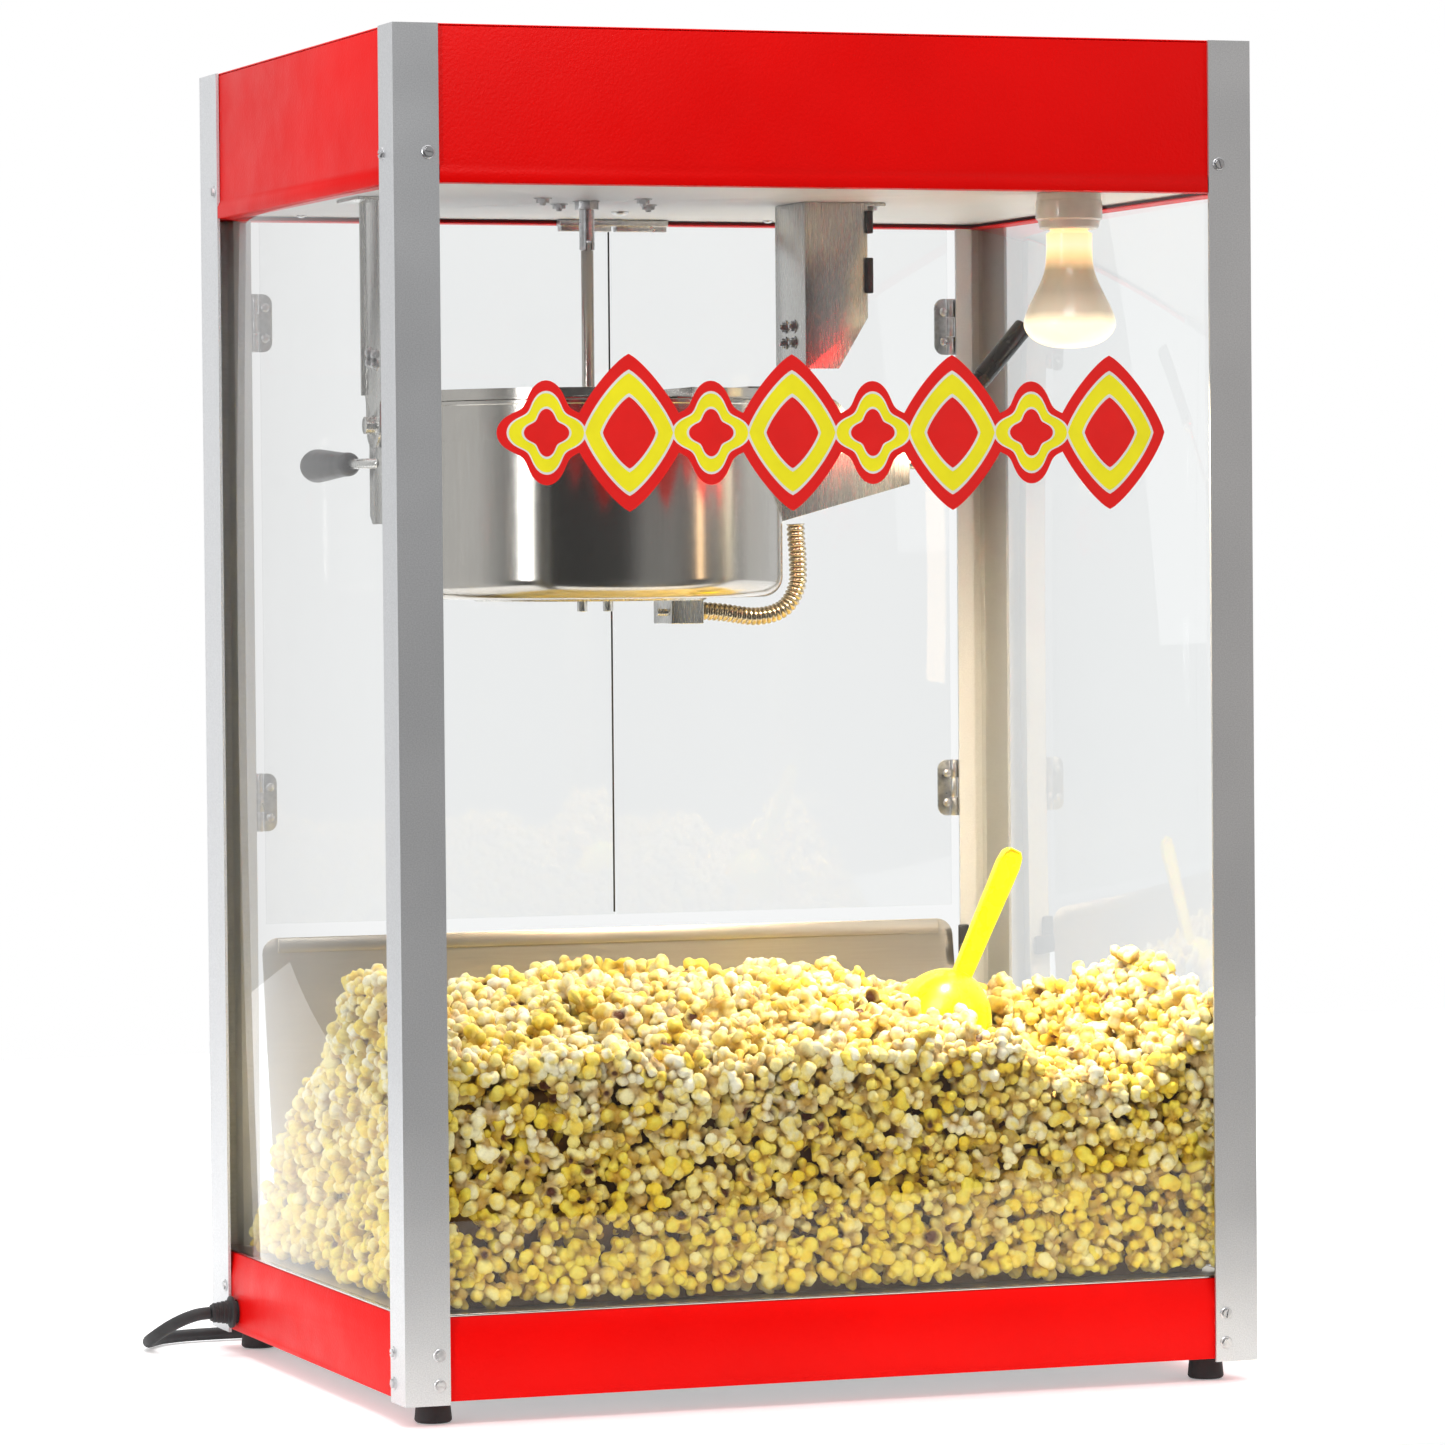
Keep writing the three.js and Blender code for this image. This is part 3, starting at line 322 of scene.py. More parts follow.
def lamp_glass():
    """Frosted glass lit from inside: brightest across its face, warmer up the neck."""
    s = Shader("lamp_glass")
    s.put(Roughness=0.22)
    low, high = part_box("lamp_bulb")
    axis = s.nodes.new("ShaderNodeSeparateXYZ")
    s.links.new(s.place, axis.inputs["Vector"])
    height = s.nodes.new("ShaderNodeMapRange")
    height.inputs["From Min"].default_value = low.z
    height.inputs["From Max"].default_value = high.z
    s.links.new(axis.outputs["Z"], height.inputs["Value"])
    mottled = s.add(height.outputs["Result"], s.add(s.noise(60), 0.03, "MULTIPLY"))
    s.color(s.ramp(mottled, (0.0, (0.50, 0.45, 0.34)), (0.6, (0.32, 0.28, 0.22))))
    glow = s.ramp(
        mottled, (0.0, (1.0, 0.84, 0.5)), (0.18, (1.0, 0.86, 0.56)), (0.27, (0.30, 0.24, 0.17)),
        (0.42, (0.16, 0.12, 0.08)), (0.56, (0.24, 0.16, 0.08)), (0.66, (1.0, 0.62, 0.26)),
        (0.74, (1.0, 0.78, 0.46)), (0.84, (1.0, 0.66, 0.3)),
    )
    s.links.new(glow, s.bsdf.inputs["Emission Color"])
    s.put(Emission_Strength=1.25)
    return s.material


def popped_corn():
    s = Shader("popped_corn")
    tint = s.nodes.new("ShaderNodeAttribute")
    tint.attribute_name = "tint"
    mottle = s.ramp(s.noise(420, detail=3), (0.3, 0.88), (0.7, 1.0))
    butter = s.mix(1.0, tint.outputs["Color"], (1.0, 0.87, 0.36), "MULTIPLY")
    patches = s.ramp(s.noise(95, detail=2), (0.44, 0.0), (0.60, 1.0))
    s.color(s.mix(1.0, s.mix(patches, tint.outputs["Color"], butter), mottle, "MULTIPLY"))
    s.roughness(s.ramp(s.noise(300), (0.3, 0.42), (0.7, 0.7)))
    return s.bump(s.noise(650, detail=4), 0.0006, 0.5).material


def yellow_plastic():
    s = Shader("yellow_plastic")
    s.put(Subsurface_Weight=0.2, Subsurface_Scale=0.006, Coat_Weight=0.3, Coat_Roughness=0.12)
    s.color(s.ramp(s.noise(14), (0.3, (0.93, 0.77, 0.0)), (0.7, (1.0, 0.86, 0.0))))
    s.roughness(s.ramp(s.noise(70), (0.3, 0.22), (0.7, 0.34)))
    return s.bump(s.noise(420), 0.0001, 0.25).material


def vinyl(name, color):
    s = Shader(name)
    darker = tuple(c * 0.92 for c in color)
    s.color(s.ramp(s.noise(40), (0.3, darker), (0.7, color)))
    s.roughness(s.ramp(s.noise(90), (0.3, 0.28), (0.7, 0.4)))
    return s.bump(s.noise(800), 0.00003, 0.3).material


def floor_paint():
    s = Shader("floor_paint")
    s.color(s.ramp(s.noise(3), (0.3, (0.86, 0.86, 0.86)), (0.7, (0.88, 0.88, 0.88))))
    s.put(Emission_Color=(1, 1, 1, 1), Emission_Strength=0.3)
    s.roughness(s.ramp(s.noise(20), (0.3, 0.5), (0.7, 0.62)))
    return s.material


def make_materials():
    rubber = (0.012, 0.012, 0.013)
    return {
        "red_powder_coat": red_powder_coat(),
        "satin_aluminium": anodised("satin_aluminium", 0.85),
        # painted light: a brighter, less metallic copy of the satin aluminium, standing in for the light on
        # the rear posts
        "lit_copy_aluminium": anodised("lit_copy_aluminium", 0.3, 1.05),
        "brushed_stainless": brushed(
            "brushed_stainless", (0.56, 0.55, 0.53), (0.60, 0.59, 0.57), (1, 1, 0.03),
            (0.25, 0.29), 900, 0.000003,
        ),
        "gate_stainless": brushed(
            "gate_stainless", (0.52, 0.47, 0.39), (0.58, 0.53, 0.45), (0.02, 1, 1),
            (0.30, 0.38), 900, 0.00001,
        ),
        "polished_stainless": brushed(
            "polished_stainless", (0.51, 0.485, 0.45), (0.55, 0.525, 0.49), (1, 1, 0.03),
            (0.15, 0.18), 600, 0.000003,
        ),
        "warm_zinc": brushed(
            "warm_zinc", (0.56, 0.48, 0.34), (0.64, 0.56, 0.41), (1, 1, 1), (0.16, 0.24), 300,
        ),
        "zinc_plated_steel": zinc_plate(),
        "white_enamel": white_enamel(),
        "clear_glass": clear_sheet("clear_glass", (0.975, 0.98, 0.98), 0.015, 1.45),
        "clear_acrylic": clear_sheet("clear_acrylic", (0.965, 0.968, 0.968), 0.03, 1.40),
        "black_rubber": dark_polymer("black_rubber", rubber, 0.62, 260),
        "black_plastic": dark_polymer("black_plastic", (0.016, 0.016, 0.018), 0.42, 420),
        "gloss_black": dark_polymer("gloss_black", (0.010, 0.010, 0.011), 0.2, 420),
        "porcelain": porcelain(),
        "lamp_glass": lamp_glass(),
        "popped_corn": popped_corn(),
        "yellow_plastic": yellow_plastic(),
        "red_vinyl": vinyl("red_vinyl", (0.82, 0.008, 0.006)),
        "yellow_vinyl": vinyl("yellow_vinyl", (0.95, 0.86, 0.01)),
        "white_vinyl": vinyl("white_vinyl", (0.80, 0.78, 0.74)),
    }


# ---- mesh helpers ----
def add_piece(name, mesh, material, body, slot, replaces=(), crease=32):
    obj = bpy.data.objects.new(name, mesh)
    scene.collection.objects.link(obj)
    mesh.materials.append(materials[material])
    mesh.shade_smooth()
    mesh.set_sharp_from_angle(angle=math.radians(crease))
    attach(obj, body)
    if replaces:
        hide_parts(*replaces)
    return obj


def to_mesh(name, bm):
    bmesh.ops.recalc_face_normals(bm, faces=bm.faces[:])
    mesh = bpy.data.meshes.new(name)
    bm.to_mesh(mesh)
    bm.free()
    return mesh


def add_shape(name, bm, *told):
    return add_piece(name, to_mesh(name, bm), *told)


def bevel_sharp(bm, width, segments=2, above=40):
    sharp = [e for e in bm.edges if len(e.link_faces) == 2 and e.calc_face_angle(0) > math.radians(above)]
    bmesh.ops.bevel(
        bm, geom=sharp, offset=width, segments=segments, profile=0.5, affect="EDGES", clamp_overlap=True,
    )


def softened(node, width=0.5, material=None, above=40, segments=2):
    """A copy of a CAD node with every hard edge rounded, in the node's place."""
    bm = bmesh.new()
    bm.from_mesh(frame["nodes"][node].data)
    bmesh.ops.remove_doubles(bm, verts=bm.verts[:], dist=2e-6)
    bmesh.ops.dissolve_limit(bm, angle_limit=math.radians(0.6), verts=bm.verts[:], edges=bm.edges[:])
    bevel_sharp(bm, width * MM, segments, above)
    bmesh.ops.triangulate(bm, faces=[f for f in bm.faces if len(f.verts) > 4])
    mesh = to_mesh(f"{node}_finish", bm)
    slot = slot_of[node]
    return add_piece(f"{node}_finish", mesh, material or slot, body_of[node], slot, [node])


def lathe(bm, profile, sides=96, place=Matrix.Identity(4)):
    """Turns a profile of (radius, height) in millimetres about the Z axis of place."""
    rings = []
    for radius, height in profile:
        if radius < 1e-6:
            rings.append([bm.verts.new(place @ Vector((0, 0, height * MM)))])
            continue
        ring = []
        for i in range(sides):
            turn = 2 * math.pi * i / sides
            spot = Vector((radius * math.cos(turn), radius * math.sin(turn), height)) * MM
            ring.append(bm.verts.new(place @ spot))
        rings.append(ring)
    for a, b in zip(rings, rings[1:]):
        for i in range(sides):
            j = (i + 1) % sides
            corners = [a[i % len(a)], a[j % len(a)], b[j % len(b)], b[i % len(b)]]
            unique = list(dict.fromkeys(corners))
            if len(unique) > 2:
                bm.faces.new(unique)


def rounded(profile, radius=0.6, steps=3):
    """Rounds the inner corners of a profile's polyline."""
    out = [profile[0]]
    for before, corner, after in zip(profile, profile[1:], profile[2:]):
        a, b, c = Vector(before), Vector(corner), Vector(after)
        reach = min(radius, (a - b).length * 0.45, (c - b).length * 0.45)
        if reach < 1e-4:
            out.append(corner)
            continue
        start = b + (a - b).normalized() * reach
        end = b + (c - b).normalized() * reach
        for k in range(steps + 1):
            t = k / steps
            spot = start * (1 - t) ** 2 + b * 2 * t * (1 - t) + end * t ** 2
            out.append((spot.x, spot.y))
    return [*out, profile[-1]]


def upright(x, y, z=0.0):
    return Matrix.Translation(Vector((x, y, z)) * MM)


def along(point, direction):
    """A placement whose Z axis points in the direction, at a point in millimetres."""
    turn = Vector((0, 0, 1)).rotation_difference(Vector(direction)).to_matrix().to_4x4()
    return Matrix.Translation(Vector(point) * MM) @ turn


def box_mesh(bm, low, high):
    low, high = Vector(low) * MM, Vector(high) * MM
    middle, size = (low + high) / 2, high - low
    place = Matrix.Translation(middle) @ Matrix.Diagonal((*size, 1))
    bmesh.ops.create_cube(bm, size=1, matrix=place)


def prism(bm, outline, place, depth):
    """A flat outline of (x, y) in millimetres with a thickness along the Z axis of place."""
    low = [bm.verts.new(place @ (Vector((x, y, 0)) * MM)) for x, y in outline]
    high = [bm.verts.new(place @ (Vector((x, y, depth)) * MM)) for x, y in outline]
    bm.faces.new(low[::-1])
    bm.faces.new(high)
    for i in range(len(low)):
        j = (i + 1) % len(low)
        bm.faces.new((low[i], low[j], high[j], high[i]))


def sweep(bm, route, radius_at, sides=20):
    """A tube along a route in millimetres; radius_at gives its radius at each point's number."""
    rings = []
    normal = Vector((0, 0, 1))
    for i, spot in enumerate(route):
        ahead = (route[min(i + 1, len(route) - 1)] - route[max(i - 1, 0)]).normalized()
        normal = (normal - ahead * normal.dot(ahead))
        if normal.length < 1e-3:
            normal = ahead.orthogonal()
        normal.normalize()
        side = ahead.cross(normal)
        radius = radius_at(i)
        rings.append([
            bm.verts.new((
                spot + (normal * math.cos(a) + side * math.sin(a)) * radius
            ) * MM) for a in (2 * math.pi * k / sides for k in range(sides))
        ])
    for a, b in zip(rings, rings[1:]):
        for i in range(sides):
            j = (i + 1) % sides
            bm.faces.new((a[i], a[j], b[j], b[i]))
    bm.faces.new(rings[0][::-1])
    bm.faces.new(rings[-1])


def even_route(points, step):
    """The same route with its points a step apart."""
    lengths = [0.0]
    for a, b in zip(points, points[1:]):
        lengths.append(lengths[-1] + (b - a).length)
    count = max(2, int(lengths[-1] / step))
    wanted = np.linspace(0, lengths[-1], count)
    axes = [np.interp(wanted, lengths, [p[k] for p in points]) for k in range(3)]
    return [Vector(p) for p in zip(*axes)]


# ---- fasteners ----
def hex_ring(radius, sides=6, turn=0.0):
    return [
        (radius * math.cos(turn + 2 * math.pi * i / sides), radius * math.sin(turn + 2 * math.pi * i / sides))
        for i in range(sides)
    ]


def slotted_screw(bm, point, direction, turn=0.0, washer=4.4, across=3.1, high=2.1):
    """A hexagon washer head with a screwdriver slot."""
    place = along(point, direction) @ Matrix.Rotation(turn, 4, "Z")
    lathe(bm, [(0, 0.0), (washer, 0.0), (washer, 0.35), (washer - 0.5, 0.75), (0, 0.75)], 28, place)
    slot_half = 0.45
    for side in (-1, 1):
        outline = [(x, y) for x, y in hex_ring(across) if side * y > slot_half]
        ends = [(-across * 0.97, side * slot_half), (across * 0.97, side * slot_half)]
        outline = sorted(outline + ends, key=lambda p: math.atan2(p[1] - side * 1.2, p[0]))
        prism(bm, outline, place @ Matrix.Translation((0, 0, 0.7 * MM)), high - 0.7)
    floor = [(-across * 0.9, -0.6), (across * 0.9, -0.6), (across * 0.9, 0.6), (-across * 0.9, 0.6)]
    prism(bm, floor, place @ Matrix.Translation((0, 0, 0.6 * MM)), high - 1.3)


def nut(bm, point, direction, across=4.6, high=3.4, stud=2.2, reach=5.2):
    """A washer, a chamfered nut and the end of its screw."""
    place = along(point, direction)
    lathe(bm, [(0, 0), (across * 1.35, 0), (across * 1.35, 0.7), (0, 0.7)], 28, place)
    prism(bm, hex_ring(across), place @ Matrix.Translation((0, 0, 0.6 * MM)), high - 0.8)
    prism(bm, hex_ring(across * 0.9), place @ Matrix.Translation((0, 0, 0.7 * MM)), high - 0.6)
    lathe(bm, [(0, 0.5), (stud, 0.5), (stud, reach - 0.5), (stud - 0.5, reach), (0, reach)], 18, place)


def dome_rivet(bm, point, direction, radius=2.6, high=1.1):
    place = along(point, direction)
    profile = [(0, 0), (radius, 0)]
    profile += [(radius * math.cos(a), high * math.sin(a)) for a in np.linspace(0.15, 1.35, 6)]
    lathe(bm, [*profile, (0, high)], 24, place)


# ---- cabinet ----
def make_posts():
    """Folded angles with rounded edges; the rear ones carry the doors' stepped strip."""
    low, high = mm_box("post_front_left")
    face = Vector((-low.x - 2.2, -low.y - 2.2))  # the flanges' outer faces, inside the screw heads
    for end, across, deep in (("front", 31.0, 33.0), ("rear", 20.5, 45.0)):
        for side_name, sx in (("left", -1), ("right", 1)):
            sy = -1 if end == "front" else 1
            bm = bmesh.new()
            outline = [
                (0, 0), (across, 0), (across, POST_WALL), (POST_WALL, POST_WALL),
                (POST_WALL, deep), (0, deep),
            ]
            points = [(sx * (face.x - u), sy * (face.y - v)) for u, v in outline]
            prism(bm, points, upright(0, 0, low.z), high.z - low.z)
            if end == "rear":
                step = [
                    (284.5, 238.5), (284.5, 221), (273.6, 221), (273.6, 219), (286.5, 219), (286.5, 238.5),
                ]
                glass_low, glass_high = mm_box("left_glass")
                strip = [(sx * x, y) for x, y in step]
                prism(bm, strip, upright(0, 0, glass_low.z), glass_high.z - glass_low.z)
            bevel_sharp(bm, 0.55 * MM, 3)
            node = f"post_{end}_{side_name}"
            # the rear posts take the painted-light copy of the aluminium
            metal = "satin_aluminium" if end == "front" else "lit_copy_aluminium"
            add_piece(f"{node}_angle", to_mesh(node, bm), metal, "cabinet", slot_of[node], [node])


def make_cabinet_screws():
    bm = bmesh.new()
    face_x, face_y = 305.0, 240.0
    turns = np.random.default_rng(4).uniform(0, math.pi, 40)
    number = 0
    for z in (832, 47, 27):
        for sx in (-1, 1):
            for sy, across, deep in ((-1, 31.0, 33.0), (1, 20.5, 45.0)):
                x = sx * (face_x - across + 7.5)
                y = sy * (face_y - deep + 7.5)
                slotted_screw(bm, (x, sy * face_y, z), (0, sy, 0), turns[number])
                slotted_screw(bm, (sx * face_x, y, z), (sx, 0, 0), turns[number + 1])
                number += 2
    add_shape("cabinet_screws", bm, "zinc_plated_steel", "cabinet", "zinc_plated_steel")


def make_ceiling_hardware():
    """Nuts round the drive, bolts through the arms' flanges, and plate screws."""
    bm = bmesh.new()
    ceiling = mm_box("ceiling_plate")[0].z
    shaft = (mm_box("drive_coupling")[0] + mm_box("drive_coupling")[1]) / 2
    for dx, dy in ((-9, 34), (57, 33), (-42, -30), (30, -34)):
        nut(bm, (shaft.x + dx, shaft.y + dy, ceiling), (0, 0, -1))
    dome_rivet(bm, (-28, 115, ceiling), (0, 0, -1), 6.5, 3.2)
    for x, y in ((118, 204), (-240, 204), (118, -212), (-240, -212)):
        dome_rivet(bm, (x, y, ceiling), (0, 0, -1), 3.6, 2.0)
    arm_low, arm_high = mm_box("kettle_arm_right")
    for dy in (-20, 20):
        nut(bm, (arm_high.x - 7, dy, arm_high.z - 2.2), (0, 0, -1), 3.8, 2.8, 1.9, 4.4)
    for dx in (62, 82):
        nut(bm, (dx, 12, arm_high.z - 2.2), (0, 0, -1), 3.4, 2.6, 1.7, 3.8)
    for y in (-8, 10.5):
        for z in (718, 729.5):
            nut(bm, (arm_low.x, y, z), (-1, 0, 0), 3.5, 2.8, 1.9, 4.6)
    left_high = mm_box("kettle_arm_left")[1]
    for y in (-9, 5):
        for z in (701, 708):
            nut(bm, (left_high.x - 2.0, y, z + (y > 0) * 2), (-1, 0, 0), 3.2, 2.6, 1.7, 3.6)
    clips = bmesh.new()
    for low_z, high_z in ((794, 810), (752, 777)):
        box_mesh(clips, (104.6, -33, low_z), (109.4, -25, high_z))
    bevel_sharp(clips, 0.8 * MM)
    add_shape("arm_clips", clips, "black_plastic", "cabinet", "black_plastic")
    add_shape("ceiling_hardware", bm, "zinc_plated_steel", "cabinet", "zinc_plated_steel")


def make_hinge_screws():
    for side, sx in (("left", -1), ("right", 1)):
        bm = bmesh.new()
        for level in ("lower", "upper"):
            low, high = mm_box(f"hinge_door_leaf_{side}_{level}")
            middle = (low.z + high.z) / 2
            x = sx * (min(abs(low.x), abs(high.x)) + 6.2)
            for dz in (-11, 11):
                dome_rivet(bm, (x, high.y - 2.1, middle + dz), (0, 1, 0), 2.9, 1.6)
                dome_rivet(bm, (x, mm_box(f"door_{side}")[0].y, middle + dz), (0, -1, 0), 3.3, 1.6)
        add_piece(
            f"hinge_screws_{side}", to_mesh(f"hinge_screws_{side}", bm), "zinc_plated_steel",
            f"{side}_door", "zinc_plated_steel",
        )


# ---- kettle ----
def make_kettle():
    low, high = mm_box("kettle_shell")
    centre = (low + high) / 2
    radius = (high.x - low.x) / 2
    place = upright(centre.x, centre.y)
    corner, wall = 14.0, 2.0
    bend = [
        (radius - corner + corner * math.sin(a), low.z + corner - corner * math.cos(a))
        for a in np.linspace(0, math.pi / 2, 12)
    ]
    inner = [
        (radius - corner + (corner - wall) * math.sin(a), low.z + corner - (corner - wall) * math.cos(a))
        for a in np.linspace(math.pi / 2, 0, 12)
    ]
    bm = bmesh.new()
    lip = [
        (radius, high.z - 0.8), (radius - 0.6, high.z), (radius - wall + 0.4, high.z),
        (radius - wall, high.z - 0.6),
    ]
    dish = [(radius - 30, low.z + 0.35), (radius - 36, low.z + 0.9), (0, low.z + 1.1)]
    floor = [(0, low.z + wall + 0.2), (radius - 30, low.z + wall)]
    lathe(bm, [*dish[::-1], *bend, *lip, *inner, *floor[::-1]], 160, place)
    add_shape("kettle_pot", bm, "polished_stainless", "kettle", slot_of["kettle_shell"], ["kettle_shell"], 25)

    band_low, band_high = mm_box("kettle_collar")
    outer = (band_high.x - band_low.x) / 2
    inside = radius + 0.25
    bm = bmesh.new()
    band = [
        (inside, band_low.z), (outer - 0.8, band_low.z), (outer - 0.6, band_low.z + 0.5),
        (outer - 0.6, band_high.z - 3.2), (outer, band_high.z - 2.6), (outer, band_high.z - 0.4),
        (outer - 0.4, band_high.z), (inside, band_high.z), (inside, band_low.z),
    ]
    lathe(bm, band, 160, place)
    bmesh.ops.remove_doubles(bm, verts=bm.verts[:], dist=1e-7)
    add_shape(
        "kettle_band", bm, "polished_stainless", "kettle", slot_of["kettle_collar"], ["kettle_collar"], 25,
    )

    bm = bmesh.new()
    for turn in (-92, -77, 95, 110):
        angle = math.radians(turn)
        out = Vector((math.cos(angle), math.sin(angle), 0))
        spot = centre + out * (outer - 0.7)
        dome_rivet(bm, (spot.x, spot.y, 657.5), out, 2.2, 0.6)
    add_shape("kettle_rivets", bm, "zinc_plated_steel", "kettle", "zinc_plated_steel")


def make_lids():
    """Half-moon covers with a turned-down edge and a rolled tab."""
    for side in ("left", "right"):
        softened(f"kettle_lid_{side}", 0.7, "polished_stainless", 40, 3)
    softened("lid_bar", 0.4)


def make_conduit():
    """A wound steel conduit: close ribs with a groove between them, drawn as rings."""
    low, high = mm_box("kettle_conduit")
    radius = 6.5
    path = [
        (-14.4, 530), (4, 528.5), (30, 525.5), (50, 531), (60, 546), (61, 565), (60, 580), (59.5, 590.4),
    ]
    middle = (low.y + high.y) / 2
    route = even_route(smooth_route([Vector((x, middle, z)) for x, z in path], 12), 0.6)
    pattern = [0.0, 0.55, 0.9, 1.0, 0.9, 0.55]
    bm = bmesh.new()
    sweep(bm, route, lambda i: radius - 1.2 + 1.2 * pattern[i % 6], 24)
    add_shape("conduit_ribs", bm, "warm_zinc", "kettle", "zinc_plated_steel", ["kettle_conduit"], 60)


def make_grip():
    """A turned grip on the tilt handle, thicker towards its end."""
    low, high = mm_box("tilt_handle_grip")
    outward = math.radians(4)
    direction = Vector((-math.sin(outward), math.cos(outward), 0))
    length = 79.0
    height = (low.z + high.z) / 2
    near_x = high.x - 8.5
    start = Vector((near_x, low.y + 0.6, height))
    profile = rounded([
        (0, 0), (6.4, 0), (8.3, 3.5), (8.5, 16), (9.6, 34), (11.1, 54), (11.9, 69), (10, 76.5), (5.8, 78.6),
    ], 3.2, 6)
    bm = bmesh.new()
    lathe(bm, [*profile, (0, length - 0.2)], 48, along(start, direction))
    ferrule = [(0, -0.4), (4.6, -0.4), (4.9, 0.1), (4.9, 2.4), (0, 2.4)]
    lathe(bm, ferrule, 32, along(start, direction))
    add_shape(
        "tilt_grip", bm, "black_plastic", "kettle", slot_of["tilt_handle_grip"], ["tilt_handle_grip"], 40,
    )


def make_lever():
    """The dump lever: a steel rod, a ferrule and a ribbed dark sleeve."""
    low, high = mm_box("dump_lever")
    y = (low.y + high.y) / 2
    foot, tip = Vector((149, y, 633)), Vector((236, y, 731))
    direction = (tip - foot).normalized()
    length = (tip - foot).length
    place = along(foot, direction)
    bm = bmesh.new()
    rod = [(0, -3.2), (2.4, -3.0), (3.3, -1), (3.3, length * 0.5), (0, length * 0.5)]
    lathe(bm, rounded(rod, 1.0), 32, place)
    ferrule = [(0, 0.46), (7.4, 0.46), (8.2, 0.47), (8.2, 0.52), (0, 0.52)]
    lathe(bm, rounded([(r, length * share) for r, share in ferrule], 0.7), 40, place)
    box_y = Vector((143.4, y, 633))
    lathe(bm, [(0, 0), (4.5, 0), (4.5, 6.4), (3.8, 7.2), (0, 7.2)], 28, along(box_y, (1, 0, 0)))
    add_shape("lever_rod", bm, "polished_stainless", "kettle", "brushed_stainless", ["dump_lever"], 40)
    bm = bmesh.new()
    sleeve = [(0, length * 0.52 + 0.1), (6.6, length * 0.52 + 0.1), (7.1, length * 0.53)]
    start = length * 0.56
    for ring in range(3):
        at = start + ring * 3.2
        sleeve += [(7.1, at), (6.5, at + 0.6), (6.5, at + 1.4), (7.1, at + 2.0)]
    tip = [(7.1, 1.4), (6.4, 0.4), (4.8, 0.2), (4.4, 3.5), (0, 3.5)]
    sleeve += [(r, length - back) for r, back in tip]
    lathe(bm, sleeve, 44, place)
    add_shape("lever_sleeve", bm, "gloss_black", "kettle", slot_of["dump_lever"], (), 40)


def make_drive():
    """The stirrer with its shaft and swept blades, and the coupling under the ceiling."""
    softened("stirrer", 0.35, "polished_stainless", 45)
    softened("drive_coupling", 0.3, None, 45)


def make_trunnions():
    for node in (
        "trunnion_right", "trunnion_left", "kettle_base_cover", "kettle_arm_left", "kettle_arm_right",
    ):
        softened(node, 0.5, "brushed_stainless", 42)


# ---- lamp ----
def make_lamp():
    low, high = mm_box("lamp_bulb")
    centre = (low + high) / 2
    radius = (high.x - low.x) / 2
    place = upright(centre.x, centre.y)
    z = low.z
    outline = [
        (0.0, 0.0), (0.35, 0.9), (0.62, 3.2), (0.80, 6.4), (0.92, 10.2), (0.985, 14.2), (1.0, 17.0),
        (0.985, 21.0), (0.93, 26.0), (0.85, 31.5), (0.755, 37.5), (0.665, 43.5), (0.59, 49.0),
        (0.535, 55.0), (0.51, 61.0), (0.50, 68.0), (0.50, 79.0),
    ]
    curve = smooth_route([Vector((r * radius, h, 0)) for r, h in outline], 4)
    bm = bmesh.new()
    profile = [(max(0.0, p.x), z + p.y) for p in curve]
    profile[0] = (0.0, z + 0.05)
    profile += [(13.1, z + 80.5), (13.1, z + 96), (0, z + 97.5)]
    lathe(bm, profile, 96, place)
    add_shape("lamp_envelope", bm, "lamp_glass", "cabinet", slot_of["lamp_bulb"], ["lamp_bulb"], 50)

    low, high = mm_box("lamp_socket")
    outer = (high.x - low.x) / 2
    bottom, top = low.z, high.z
    bm = bmesh.new()
    shell = rounded([
        (14.6, bottom + 0.2), (outer - 4, bottom), (outer - 2.6, bottom + 1.4), (outer - 1.6, bottom + 6),
        (outer, bottom + 7), (outer, top - 5.5), (outer - 0.8, top - 4.6), (outer - 0.8, top - 0.4),
        (outer - 1.4, top), (9.2, top), (9.2, top - 6), (14.6, top - 8), (14.6, bottom + 0.2),
    ], 0.5, 2)
    lathe(bm, shell, 80, place)
    bmesh.ops.remove_doubles(bm, verts=bm.verts[:], dist=1e-7)
    add_shape("lamp_holder", bm, "porcelain", "cabinet", slot_of["lamp_socket"], ["lamp_socket"], 35)


# ---- cord, plug and relief ----
def make_cord():
    route = cord_route()
    curve = bpy.data.curves.new("mains_cord", "CURVE")
    curve.dimensions = "3D"
    curve.bevel_depth = CORD_DIAMETER / 2 * MM
    curve.bevel_resolution = 5
    curve.use_fill_caps = True
    spline = curve.splines.new("POLY")
    spline.points.add(len(route) - 1)
    for point, spot in zip(spline.points, route):
        point.co = (*(spot * MM), 1)
    spline.use_smooth = True
    curve.materials.append(materials["black_rubber"])
    cord = bpy.data.objects.new("mains_cord", curve)
    scene.collection.objects.link(cord)
    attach(cord, "cabinet")
    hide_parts("power_cord", "cord_coil")
    make_plug()
    make_relief()


